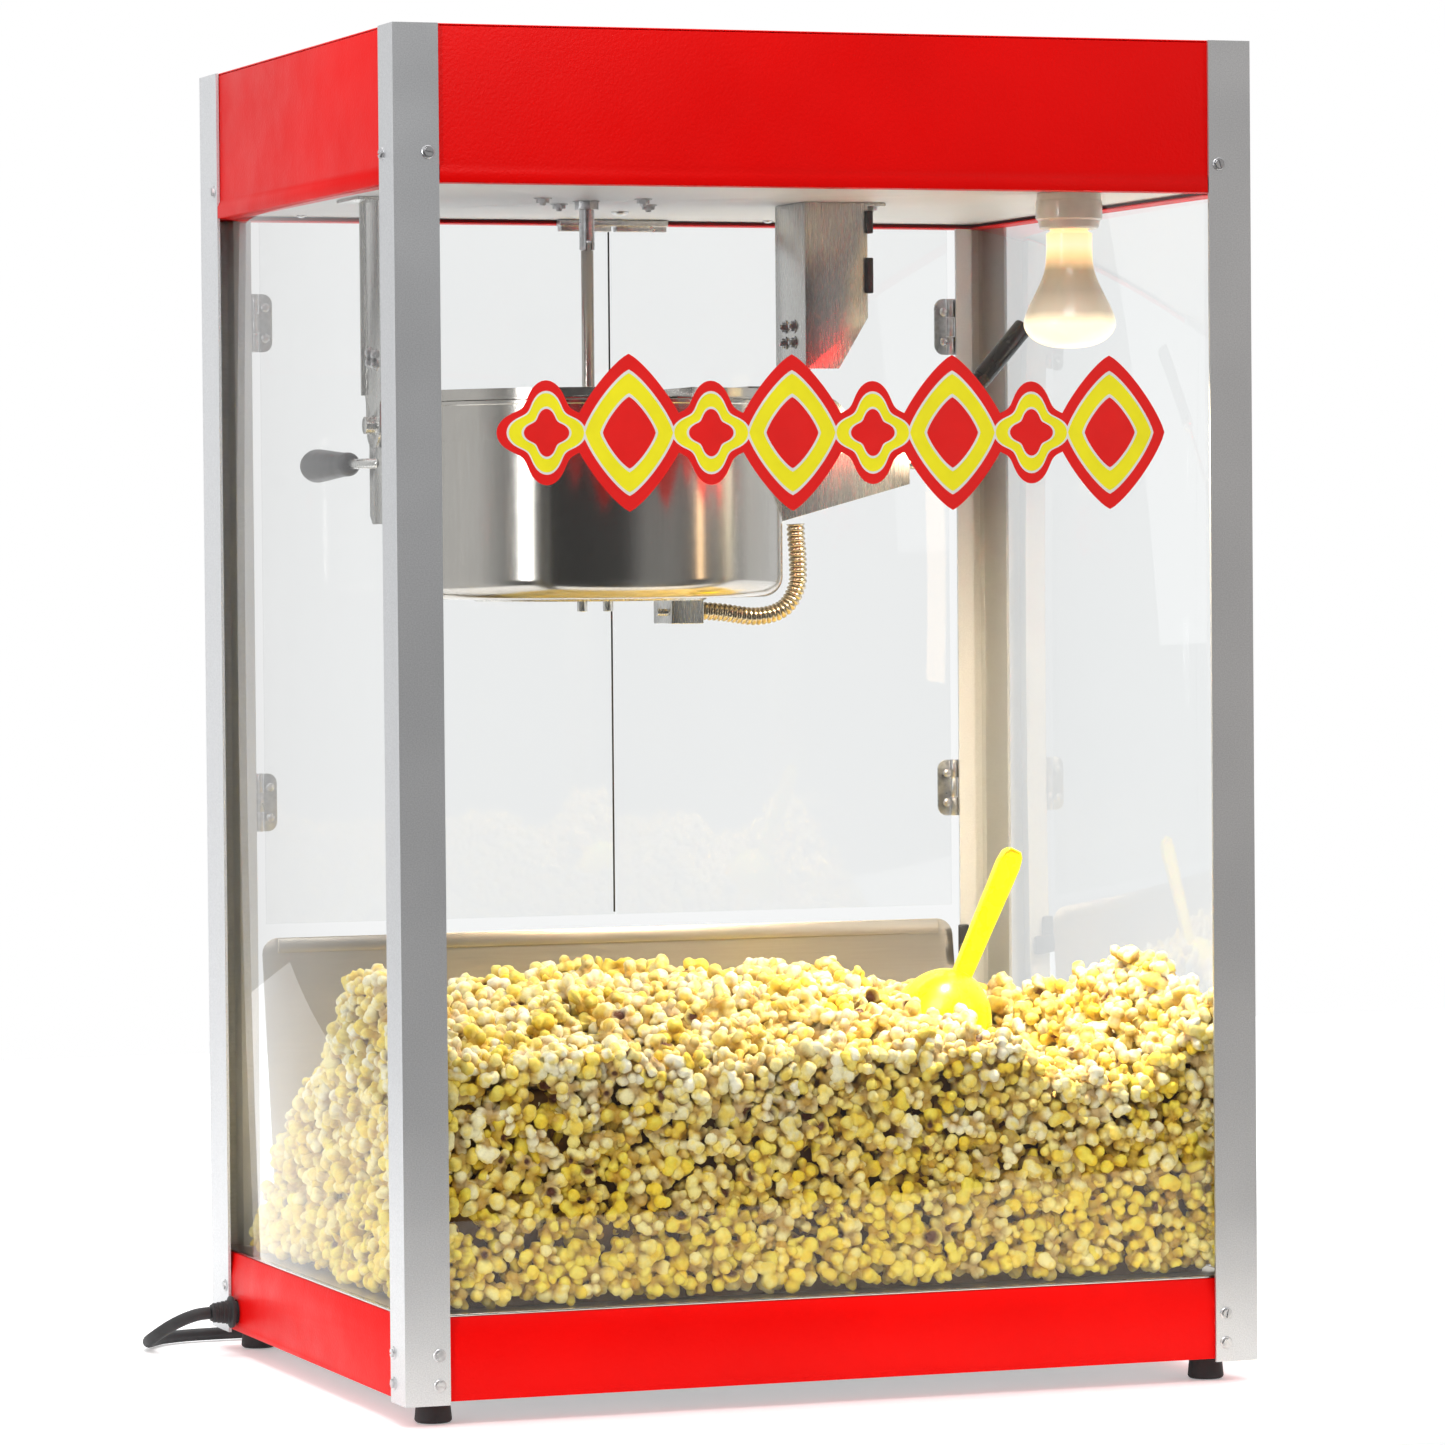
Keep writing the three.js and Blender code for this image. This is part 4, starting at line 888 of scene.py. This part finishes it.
def make_plug():
    low, high = mm_box("power_plug")
    x = (low.x + high.x) / 2
    start, z = low.y, 10.3
    bm = bmesh.new()
    place = along((x, start, z), (0, 1, 0))
    tail = [(0, 0.3), (5.0, 0.3)]
    for ring in range(4):
        at = 1.5 + ring * 4
        tail += [(5.4 + ring * 0.5, at), (5.4 + ring * 0.5, at + 2.2)]
        tail += [(4.9 + ring * 0.5, at + 2.6), (4.9 + ring * 0.5, at + 3.6)]
    lathe(bm, [*tail, (7.4, 18.5), (0, 18.5)], 32, place)
    shape = [(-12, -6), (-8, -10), (8, -10), (12, -6), (12, 5), (7, 10), (-7, 10), (-12, 5)]
    face = along((x, start + 18, z), (0, 1, 0))
    flipped = [(u, -v) for u, v in shape]
    prism(bm, flipped, face, 29)
    bevel_sharp(bm, 0.8 * MM, 3)
    body = add_shape("plug_body", bm, "black_rubber", "cabinet", "black_rubber", ["power_plug"], 40)
    bm = bmesh.new()
    for dx in (-6.35, 6.35):
        box_mesh(bm, (x + dx - 0.8, start + 46, z - 4), (x + dx + 0.8, start + 63.5, z + 2.4))
    bevel_sharp(bm, 0.3 * MM, 2)
    earth_pin = along((x, start + 46, z + 5.4), (0, 1, 0))
    lathe(bm, rounded([(0, 0), (2.3, 0), (2.3, 17), (0, 19.4)], 1.2), 24, earth_pin)
    pins = add_shape("plug_pins", bm, "zinc_plated_steel", "cabinet", "zinc_plated_steel", (), 40)
    pins.parent = body
    pins.matrix_parent_inverse = body.matrix_world.inverted()
    return body


def make_relief():
    """A ribbed tapered boot in the skirt's side."""
    low, high = mm_box("strain_relief")
    y, z = (low.y + high.y) / 2, (low.z + high.z) / 2
    length = high.x - low.x
    bm = bmesh.new()
    place = along((high.x, y, z), (-1, 0, 0))
    profile = [(0, 0), (7.8, 0), (7.8, 12.5), (11.4, 12.6), (11.4, 14.4), (8.5, 15.2)]
    rib = 15.4
    count = 4
    pitch = (length - rib - 0.6) / count
    for i in range(count):
        radius = 8.5 - 0.5 * i
        profile += [(radius, rib), (radius, rib + pitch * 0.55)]
        profile += [(radius - 0.8, rib + pitch * 0.7), (radius - 0.8, rib + pitch * 0.95)]
        rib += pitch
    lathe(bm, [*profile, (6.0, length - 0.2), (0, length - 0.2)], 40, place)
    return add_shape("cord_boot", bm, "black_rubber", "cabinet", "black_rubber", ["strain_relief"], 35)


def make_feet():
    for node in [n for n in frame["nodes"] if n.startswith("foot_")]:
        low, high = mm_box(node)
        centre = (low + high) / 2
        radius = (high.x - low.x) / 2
        profile = rounded([
            (0, 0.6), (6, 0.6), (6.6, 0), (radius - 1.4, 0), (radius, 1.6),
            (radius - 1.4, high.z), (0, high.z),
        ], 0.8)
        bm = bmesh.new()
        lathe(bm, profile, 48, upright(centre.x, centre.y))
        add_piece(f"{node}_pad", to_mesh(node, bm), "black_rubber", "cabinet", slot_of[node], [node], 40)


# ---- glass band ----
def ring_points(kind, size, steps=72):
    """A diamond with rounded corners, or a four-lobed puff."""
    points = []
    for i in range(steps):
        a = 2 * math.pi * i / steps
        if kind == "diamond":
            power = 1.25
            reach = (abs(math.cos(a)) ** power + abs(math.sin(a)) ** power) ** (-1 / power)
            points.append((size * 0.78 * reach * math.cos(a), size * reach * math.sin(a)))
        else:
            reach = 0.84 + 0.16 * math.cos(4 * a)
            points.append((size * 0.92 * reach * math.cos(a), size * 0.92 * reach * math.sin(a)))
    return points


def make_glass_band():
    """A row of plain shapes on the front glass: layers of vinyl, each a little prouder."""
    face = mm_box("front_glass")[0].y
    count = 8
    left, right, middle, half_height = -230.0, 229.0, 649.5, 52.0
    pitch = (right - left) / count
    layers = [
        ("red_vinyl", 1.0), ("white_vinyl", 0.80), ("yellow_vinyl", 0.755), ("white_vinyl", 0.50),
        ("red_vinyl", 0.455),
    ]
    meshes = {}
    for number in range(count):
        kind = ("puff", "diamond")[number % 2]
        x = left + pitch * (number + 0.5)
        for depth, (material, share) in enumerate(layers):
            bm = meshes.setdefault(material, bmesh.new())
            size = (half_height if kind == "diamond" else half_height * 0.72) * share
            lift = 0.02 + 0.025 * (number % 2) + 0.06 * depth
            place = along((x, face - lift, middle), (0, -1, 0))
            prism(bm, ring_points(kind, size), place, 0.05)
    for material, bm in meshes.items():
        add_piece(f"band_{material}", to_mesh(material, bm), material, "cabinet", "red_powder_coat")


def make_door_gap_shade():
    """A dark strip of painted shade along the left door's meeting edge, standing in for the shade in the gap
    between the doors.
    """
    low, high = mm_box("door_left")
    bm = bmesh.new()
    box_mesh(bm, (high.x - 1.5, low.y - 0.4, low.z + 2), (high.x - 0.1, low.y - 0.02, high.z - 2))
    bevel_sharp(bm, 0.15 * MM)
    # painted shade: black rubber stands in for the shade in the door gap
    add_shape("door_gap_shade", bm, "black_rubber", body_of["door_left"], slot_of["foot_front_left"])


# ---- corn ----
def ball(count):
    """Evenly spread directions and the triangles between them."""
    number = np.arange(count) + 0.5
    polar = np.arccos(1 - 2 * number / count)
    turn = math.pi * (1 + 5 ** 0.5) * number
    points = np.stack([np.cos(turn) * np.sin(polar), np.sin(turn) * np.sin(polar), np.cos(polar)], axis=1)
    bm = bmesh.new()
    for point in points:
        bm.verts.new(point)
    bmesh.ops.convex_hull(bm, input=bm.verts[:])
    bmesh.ops.recalc_face_normals(bm, faces=bm.faces[:])
    bm.verts.index_update()
    directions = np.array([v.co for v in bm.verts])
    triangles = np.array([[v.index for v in f.verts] for f in bm.faces])
    bm.free()
    return directions, triangles


def kernel_shape(rng, sphere):
    """A popped kernel of lobes with a hull in a cup: points, triangles, reach and the cup's share."""
    directions, triangles = sphere
    reach = np.full(len(directions), 0.36)
    flatness = rng.uniform(0.6, 1.0)
    for _ in range(rng.integers(7, 12)):
        out = rng.normal(size=3) * (1, 1, flatness)
        out /= np.linalg.norm(out)
        centre = out * rng.uniform(0.44, 0.72)
        radius = rng.uniform(0.22, 0.38)
        ahead = directions @ centre
        inside = ahead ** 2 - centre @ centre + radius ** 2
        hit = np.where((inside > 0) & (ahead > 0), ahead + np.sqrt(np.maximum(inside, 0)), 0)
        reach = np.maximum(reach, hit)
    for wave in (6, 11, 17):
        reach *= 1 + 0.16 / wave * 1.6 * np.sin(directions @ rng.normal(size=3) * wave + rng.uniform(0, 6))
    reach /= reach.max()
    cup_way = rng.normal(size=3)
    cup_way /= np.linalg.norm(cup_way)
    cup = np.clip((directions @ cup_way - 0.82) * 9, 0, 1) * (rng.uniform() < 0.6)
    points = directions * (reach * (1 - 0.42 * cup))[:, None]
    return points, triangles, reach, cup


def random_turn(rng):
    q = rng.normal(size=4)
    w, x, y, z = q / np.linalg.norm(q)
    return np.array([
        [1 - 2 * (y * y + z * z), 2 * (x * y - z * w), 2 * (x * z + y * w)],
        [2 * (x * y + z * w), 1 - 2 * (x * x + z * z), 2 * (y * z - x * w)],
        [2 * (x * z - y * w), 2 * (y * z + x * w), 1 - 2 * (x * x + y * y)],
    ])


CREAM = np.array([0.99, 0.97, 0.80])
BUTTER = np.array([0.95, 0.78, 0.08])
# painted shade: a dark brown for the creases between lobes and for the dark core inside the heap
CREASE_SHADE = np.array([0.40, 0.19, 0.008])
HULL = np.array([0.10, 0.022, 0.003])


def kernel_colours(rng, reach, cup, depth):
    """Cream on the lobes, with painted shade darkening the creases; the lobes turn yellower towards the
    bottom of the heap, where depth is 1.
    """
    warmth = np.clip(rng.beta(0.8, 1.3) + 0.6 * depth, 0, 1)
    lobe = (CREAM * (1 - warmth) + BUTTER * warmth) * rng.uniform(0.88, 1.0)
    # painted shade: where a lobe reaches less far, its colour is mixed towards the dark crease brown
    shaded_valley = CREASE_SHADE * 0.7 + lobe * 0.3
    share = np.clip((reach - 0.50) * 4.2, 0, 1)[:, None]
    colour = shaded_valley * (1 - share) + lobe * share
    brown = np.clip(cup * 1.4, 0, 1)[:, None]
    return colour * (1 - brown) + HULL * brown


def heap_tree():
    mesh = frame["nodes"]["popcorn_heap"].data
    vertices = [v.co for v in mesh.vertices]
    return BVHTree.FromPolygons(vertices, [list(p.vertices) for p in mesh.polygons])


def corn_spots(rng):
    """Where kernels lie: (centre, detail level), found by looking at the heap from outside."""
    tree = heap_tree()
    low, high = mm_box("popcorn_heap")
    spots = []
    coarse, medium, fine = 120, 360, 760
    scoop_low, scoop_high = mm_box("scoop")
    scoop = (scoop_low + scoop_high) / 2

    def look(start, direction, depth, level, least=0.15):
        hit, normal, _, _ = tree.ray_cast(Vector(start) * MM, Vector(direction))
        if hit is None or -normal.dot(Vector(direction)) <= least:
            return
        near_scoop = math.hypot((hit.x / MM - scoop.x + 20) / 70, (hit.y / MM - scoop.y + 25) / 65) < 1
        sunk = rng.uniform(11, 16) if near_scoop and direction[2] < 0 else depth
        spot = hit / MM - normal * sunk
        spot.y = min(spot.y, GATE_FOOT + GATE_SLOPE * (spot.z - low.z) - KERNEL)
        spots.append((spot, level))

    def grid(a_range, b_range, step, offset=0.0):
        for a in np.arange(a_range[0] + offset, a_range[1], step):
            for b in np.arange(b_range[0] + offset, b_range[1], step):
                yield a + rng.uniform(-0.3, 0.3) * step, b + rng.uniform(-0.3, 0.3) * step

    edge = 9.0
    across = (low.x + edge, high.x - edge)
    deep = (low.y + edge, high.y - 4)
    tall = (low.z + 7, high.z)
    for x, y in grid(across, deep, CORN_STEP):
        look((x, y, high.z + 50), (0, 0, -1), rng.uniform(6, 10), fine if y < -60 else medium)
    for x, y in grid(across, deep, CORN_STEP * 1.6, 5):
        look((x, y, high.z + 50), (0, 0, -1), rng.uniform(-3, 4), fine if y < -60 else medium)
    for x, z in grid(across, tall, CORN_STEP):
        look((x, low.y - 50, z), (0, 1, 0), rng.uniform(11, 15), fine, 0.5)
    for x, z in grid(across, tall, CORN_STEP, CORN_STEP / 2):
        look((x, low.y - 50, z), (0, 1, 0), rng.uniform(22, 26), medium, 0.5)
    for side in (-1, 1):
        start = (high.x if side > 0 else low.x) + side * 50
        for y, z in grid(deep, tall, CORN_STEP):
            look((start, y, z), (-side, 0, 0), rng.uniform(11, 15), medium, 0.5)
        for y, z in grid(deep, tall, CORN_STEP * 1.1, CORN_STEP / 2):
            look((start, y, z), (-side, 0, 0), rng.uniform(22, 26), coarse, 0.5)
    for x, z in grid(across, tall, CORN_STEP):
        look((x, high.y + 50, z), (0, -1, 0), rng.uniform(11, 15), medium, 0.5)
    for x, z in grid(across, tall, CORN_STEP, CORN_STEP / 2):
        look((x, high.y + 50, z), (0, -1, 0), rng.uniform(22, 26), coarse, 0.5)
    for degrees in range(0, 360, 12):
        turn = math.radians(degrees)
        for height in range(205, 264, 13):
            look((scoop.x, scoop.y, height), (math.cos(turn), math.sin(turn), 0), 12, medium)
    return spots


def mesh_from_arrays(name, points, triangles, colours):
    mesh = bpy.data.meshes.new(name)
    mesh.vertices.add(len(points))
    mesh.vertices.foreach_set("co", points.astype(np.float32).ravel())
    mesh.loops.add(len(triangles) * 3)
    mesh.loops.foreach_set("vertex_index", triangles.astype(np.int32).ravel())
    mesh.polygons.add(len(triangles))
    mesh.polygons.foreach_set("loop_start", np.arange(0, len(triangles) * 3, 3, dtype=np.int32))
    mesh.update(calc_edges=True)
    tint = mesh.color_attributes.new("tint", "FLOAT_COLOR", "POINT")
    rgba = np.concatenate([colours, np.ones((len(colours), 1))], axis=1)
    tint.data.foreach_set("color", rgba.astype(np.float32).ravel())
    return mesh


def make_corn():
    rng = np.random.default_rng(21)
    shapes = {}
    for count in (120, 360, 760):
        sphere = ball(count)
        shapes[count] = [kernel_shape(rng, sphere) for _ in range(24)]
    low, high = mm_box("popcorn_heap")
    groups = []
    batch, faces = [], 0
    for spot, level in corn_spots(rng):
        points, triangles, reach, hull = shapes[level][rng.integers(24)]
        size = KERNEL * rng.uniform(0.8, 1.12)
        centre = np.array(spot)
        inset = size * 0.97
        centre[0] = np.clip(centre[0], low.x + inset, high.x - inset)
        centre[1] = max(centre[1], low.y + inset)
        centre[2] = max(centre[2], low.z + inset * 0.9)
        placed = centre + (points @ random_turn(rng).T) * size
        depth = np.clip((high.z - 60 - centre[2]) / 110, 0, 1)
        batch.append((placed * MM, triangles, kernel_colours(rng, reach, hull, depth)))
        faces += len(triangles)
        if faces > FACES_PER_OBJECT:
            groups.append(batch)
            batch, faces = [], 0
    groups.append(batch)
    for number, batch in enumerate(groups):
        offsets = np.cumsum([0] + [len(p) for p, _, _ in batch[:-1]])
        mesh = mesh_from_arrays(
            f"corn_{number}",
            np.concatenate([p for p, _, _ in batch]),
            np.concatenate([t + o for (_, t, _), o in zip(batch, offsets)]),
            np.concatenate([c for _, _, c in batch]),
        )
        add_piece(f"loose_corn_{number}", mesh, "popped_corn", "cabinet", "popped_corn", (), 180)
    make_heap_shade()


def make_heap_shade():
    """A dark solid of painted shade just inside the loose kernels, standing in for the shade deep in the
    heap, so that no gap shows through the heap.
    """
    bm = bmesh.new()
    bm.from_mesh(frame["nodes"]["popcorn_heap"].data)
    bmesh.ops.remove_doubles(bm, verts=bm.verts[:], dist=1e-6)
    bm.normal_update()
    low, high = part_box("popcorn_heap")
    inset = SHADE_CORE_INSET * MM
    for v in bm.verts:
        moved = v.co - v.normal * inset
        moved.x = min(max(v.co.x, low.x + inset), high.x - inset)
        rear = GATE_FOOT * MM + GATE_SLOPE * (v.co.z - low.z) - inset
        moved.y = min(max(v.co.y, low.y + inset), rear)
        moved.z = max(v.co.z - inset * 1.25, low.z + 1 * MM) if v.co.z > low.z + 5 * MM else v.co.z
        v.co = moved
    mesh = to_mesh("corn_shade_core", bm)
    # painted shade: the core takes a much darkened crease brown
    colours = np.tile(np.append(CREASE_SHADE * 0.35, 1.0), (len(mesh.vertices), 1))
    tint = mesh.color_attributes.new("tint", "FLOAT_COLOR", "POINT")
    tint.data.foreach_set("color", colours.astype(np.float32).ravel())
    add_piece("corn_shade_core", mesh, "popped_corn", "cabinet", "popped_corn", ["popcorn_heap"], 180)


# ---- scoop ----
def make_scoop():
    """A deep thin-walled bowl, its mouth down in the corn, with a bevelled bar handle."""
    low, high = mm_box("scoop")
    radii = Vector((38, 33, 46))
    wall, cut = 2.2, -6.0
    bm = bmesh.new()
    sides, rings = 72, 22
    shell = []
    for grow, order in ((0.0, range(rings + 1)), (-wall, range(rings, -1, -1))):
        size = radii + Vector((grow, grow, grow))
        top = math.pi / 2
        bottom = math.asin(cut / size.z)
        for k in order:
            angle = top + (bottom - top) * k / rings
            ring = []
            for i in range(sides):
                turn = 2 * math.pi * i / sides
                ring.append(Vector((
                    size.x * math.cos(angle) * math.cos(turn), size.y * math.cos(angle) * math.sin(turn),
                    size.z * math.sin(angle),
                )))
            shell.append(ring)
    rows = []
    for ring in shell:
        if (ring[0] - ring[sides // 2]).length < 1e-3:
            rows.append([bm.verts.new(ring[0])])
        else:
            rows.append([bm.verts.new(p) for p in ring])
    for a, b in zip(rows, rows[1:]):
        for i in range(sides):
            j = (i + 1) % sides
            corners = list(dict.fromkeys([a[i % len(a)], a[j % len(a)], b[j % len(b)], b[i % len(b)]]))
            if len(corners) > 2:
                bm.faces.new(corners)
    half = [(6.8, 43), (7.3, 62), (8.6, 130), (7.2, 138), (4.4, 141.6)]
    handle = [(-6.8, 43), *half, *[(-x, z) for x, z in half[:0:-1]]]
    bar = bmesh.new()
    low_side = [bar.verts.new((x, -3.9, z)) for x, z in handle]
    high_side = [bar.verts.new((x, 3.9, z)) for x, z in handle]
    bar.faces.new(low_side)
    bar.faces.new(high_side[::-1])
    for i in range(len(handle)):
        j = (i + 1) % len(handle)
        bar.faces.new((low_side[i], low_side[j], high_side[j], high_side[i]))
    bmesh.ops.recalc_face_normals(bar, faces=bar.faces[:])
    broad = [f for f in bar.faces if len(f.verts) == len(handle)]
    bmesh.ops.inset_region(bar, faces=broad, thickness=1.8, depth=0)
    for f in broad:
        for v in f.verts:
            v.co.y -= math.copysign(1.2, v.co.y)
    sharp = [e for e in bar.edges if len(e.link_faces) == 2 and e.calc_face_angle(0) > math.radians(30)]
    bmesh.ops.bevel(bar, geom=sharp, offset=0.7, segments=3, profile=0.5, affect="EDGES", clamp_overlap=True)
    scratch = bpy.data.meshes.new("scratch")
    bar.to_mesh(scratch)
    bar.free()
    bm.from_mesh(scratch)
    bpy.data.meshes.remove(scratch)
    lean = Matrix.Rotation(math.radians(SCOOP_LEAN), 4, "Y")
    bm.transform(lean)
    corners = np.array([v.co for v in bm.verts])
    shift = (low + high) / 2 - Vector((corners.min(0) + corners.max(0)) / 2)
    bm.transform(Matrix.Diagonal((MM, MM, MM, 1)) @ Matrix.Translation(shift))
    add_shape("scoop_moulding", bm, "yellow_plastic", "scoop_body", slot_of["scoop"], ["scoop"], 35)


# ---- stage ----
def add_stage():
    bm = bmesh.new()
    bmesh.ops.create_grid(bm, x_segments=1, y_segments=1, size=1)
    bmesh.ops.scale(bm, vec=(1.9, 1.7, 1), verts=bm.verts[:])
    bmesh.ops.translate(bm, vec=(1.0, 1.15, 0), verts=bm.verts[:])
    floor = bpy.data.objects.new("floor", to_mesh("floor", bm))
    floor.location.z = -0.0005
    floor.data.materials.append(floor_paint())
    scene.collection.objects.link(floor)


def area_light(name, place, target, size, power, color=(1, 1, 1)):
    data = bpy.data.lights.new(name, "AREA")
    data.shape = "RECTANGLE"
    data.size, data.size_y = size
    data.energy = power
    data.color = color
    light = bpy.data.objects.new(name, data)
    light.location = place
    aim = (Vector(target) - Vector(place)).to_track_quat("-Z", "Y")
    light.rotation_euler = aim.to_euler()
    scene.collection.objects.link(light)
    return light


def add_lights():
    area_light("key", (-0.5, -1.7, 2.1), (0, 0, 0.6), (1.0, 0.8), 24)
    area_light("fill", (2.6, -2.0, 1.4), (0, 0, 0.5), (1.4, 1.6), 10)
    area_light("strip", (-2.3, -1.5, 1.0), (-0.1, 0, 0.7), (0.22, 1.8), 20)
    area_light("warm_strip", (2.2, -2.0, 0.7), (-0.1, 0, 0.6), (0.14, 1.2), 3, (1.0, 0.66, 0.36))
    area_light("top", (0, 0.6, 3.0), (0, 0, 0.4), (2.6, 2.0), 50)
    low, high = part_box("lamp_bulb")
    centre = (low + high) / 2
    glow = bpy.data.lights.new("lamp_glow", "SPOT")
    glow.energy = 27
    glow.color = (1.0, 0.82, 0.56)
    glow.spot_size = math.radians(165)
    glow.spot_blend = 0.8
    glow.shadow_soft_size = 0.025
    lamp = bpy.data.objects.new("lamp_glow", glow)
    lamp.location = (centre.x, centre.y, low.z - 0.004)
    scene.collection.objects.link(lamp)
    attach(lamp, "cabinet")


# brightness of the studio's walls by bearing: 0 is behind the machine and 90 is on its right
STUDIO = [
    (-180, 0.10), (-160, 0.05), (-128, 0.05), (-112, 0.30), (-92, 1.0), (88, 1.0), (108, 0.25),
    (132, 0.08), (146, 0.36), (166, 0.38), (174, 0.16), (180, 0.10),
]


def add_world():
    """White to the eye and through glass, and a soft studio gradient in reflections."""
    world = bpy.data.worlds.new("studio")
    scene.world = world
    world.use_nodes = True
    nodes, links = world.node_tree.nodes, world.node_tree.links
    nodes.clear()
    place = nodes.new("ShaderNodeTexCoord")
    axes = nodes.new("ShaderNodeSeparateXYZ")
    links.new(place.outputs["Generated"], axes.inputs["Vector"])
    bearing = nodes.new("ShaderNodeMath")
    bearing.operation = "ARCTAN2"
    links.new(axes.outputs["X"], bearing.inputs[0])
    links.new(axes.outputs["Y"], bearing.inputs[1])
    share = nodes.new("ShaderNodeMapRange")
    share.inputs["From Min"].default_value = -math.pi
    share.inputs["From Max"].default_value = math.pi
    links.new(bearing.outputs["Value"], share.inputs["Value"])
    around = nodes.new("ShaderNodeValToRGB")
    elements = around.color_ramp.elements
    while len(elements) < len(STUDIO):
        elements.new(0.5)
    for element, (degrees, grey) in zip(elements, STUDIO):
        element.position = (degrees + 180) / 360
        element.color = (grey, grey, grey, 1)
    links.new(share.outputs["Result"], around.inputs["Fac"])
    above = nodes.new("ShaderNodeMapRange")
    above.inputs["From Min"].default_value = 0.35
    above.inputs["From Max"].default_value = 0.75
    above.inputs["To Max"].default_value = 0.8
    links.new(axes.outputs["Z"], above.inputs["Value"])
    summed = nodes.new("ShaderNodeMix")
    summed.data_type = "RGBA"
    summed.blend_type = "ADD"
    summed.inputs[0].default_value = 1.0
    links.new(around.outputs["Color"], summed.inputs[6])
    links.new(above.outputs["Result"], summed.inputs[7])
    studio = nodes.new("ShaderNodeBackground")
    studio.inputs["Strength"].default_value = 0.85
    links.new(summed.outputs[2], studio.inputs["Color"])
    seen = nodes.new("ShaderNodeBackground")
    seen.inputs["Color"].default_value = (1, 1, 1, 1)
    seen.inputs["Strength"].default_value = 1.0
    ray = nodes.new("ShaderNodeLightPath")
    blend = nodes.new("ShaderNodeMixShader")
    links.new(ray.outputs["Is Camera Ray"], blend.inputs["Fac"])
    links.new(studio.outputs["Background"], blend.inputs[1])
    links.new(seen.outputs["Background"], blend.inputs[2])
    output = nodes.new("ShaderNodeOutputWorld")
    links.new(blend.outputs["Shader"], output.inputs["Surface"])


# ---- assembly ----
add_camera()
materials = make_materials()
make_cord()
make_posts()
make_cabinet_screws()
make_ceiling_hardware()
make_hinge_screws()
make_kettle()
make_lids()
make_conduit()
make_grip()
make_lever()
make_drive()
make_trunnions()
make_lamp()
make_feet()
make_glass_band()
make_door_gap_shade()
make_scoop()
make_corn()

SOFTENED = {
    "header_shell": 0.8, "top_cover": 0.8, "base_skirt": 0.8, "base_trim": 0.3, "base_floor": 0.3,
    "corn_deck": 0.3, "kernel_drawer": 0.5, "ceiling_plate": 0.3, "switch_plate": 0.4,
    "motor_switch": 0.9, "kettle_switch": 0.9, "lamp_switch": 0.9, "door_catch": 0.5, "rear_gate": 0.4,
    "gate_catch": 1.2, "front_glass": 0.4, "left_glass": 0.4, "right_glass": 0.4, "door_left": 0.5,
    "door_right": 0.5, "drive_motor": 1.0,
}
FINISH = {
    "rear_gate": "gate_stainless", "base_trim": "polished_stainless",
    "kernel_drawer": "gate_stainless", "corn_deck": "gate_stainless",
}
for node, width in SOFTENED.items():
    softened(node, width, FINISH.get(node))
for side in ("left", "right"):
    for level in ("lower", "upper"):
        softened(f"hinge_frame_leaf_{side}_{level}", 0.25)
        softened(f"hinge_door_leaf_{side}_{level}", 0.25)

add_stage()
add_lights()
add_world()
scene.view_settings.view_transform = "Standard"
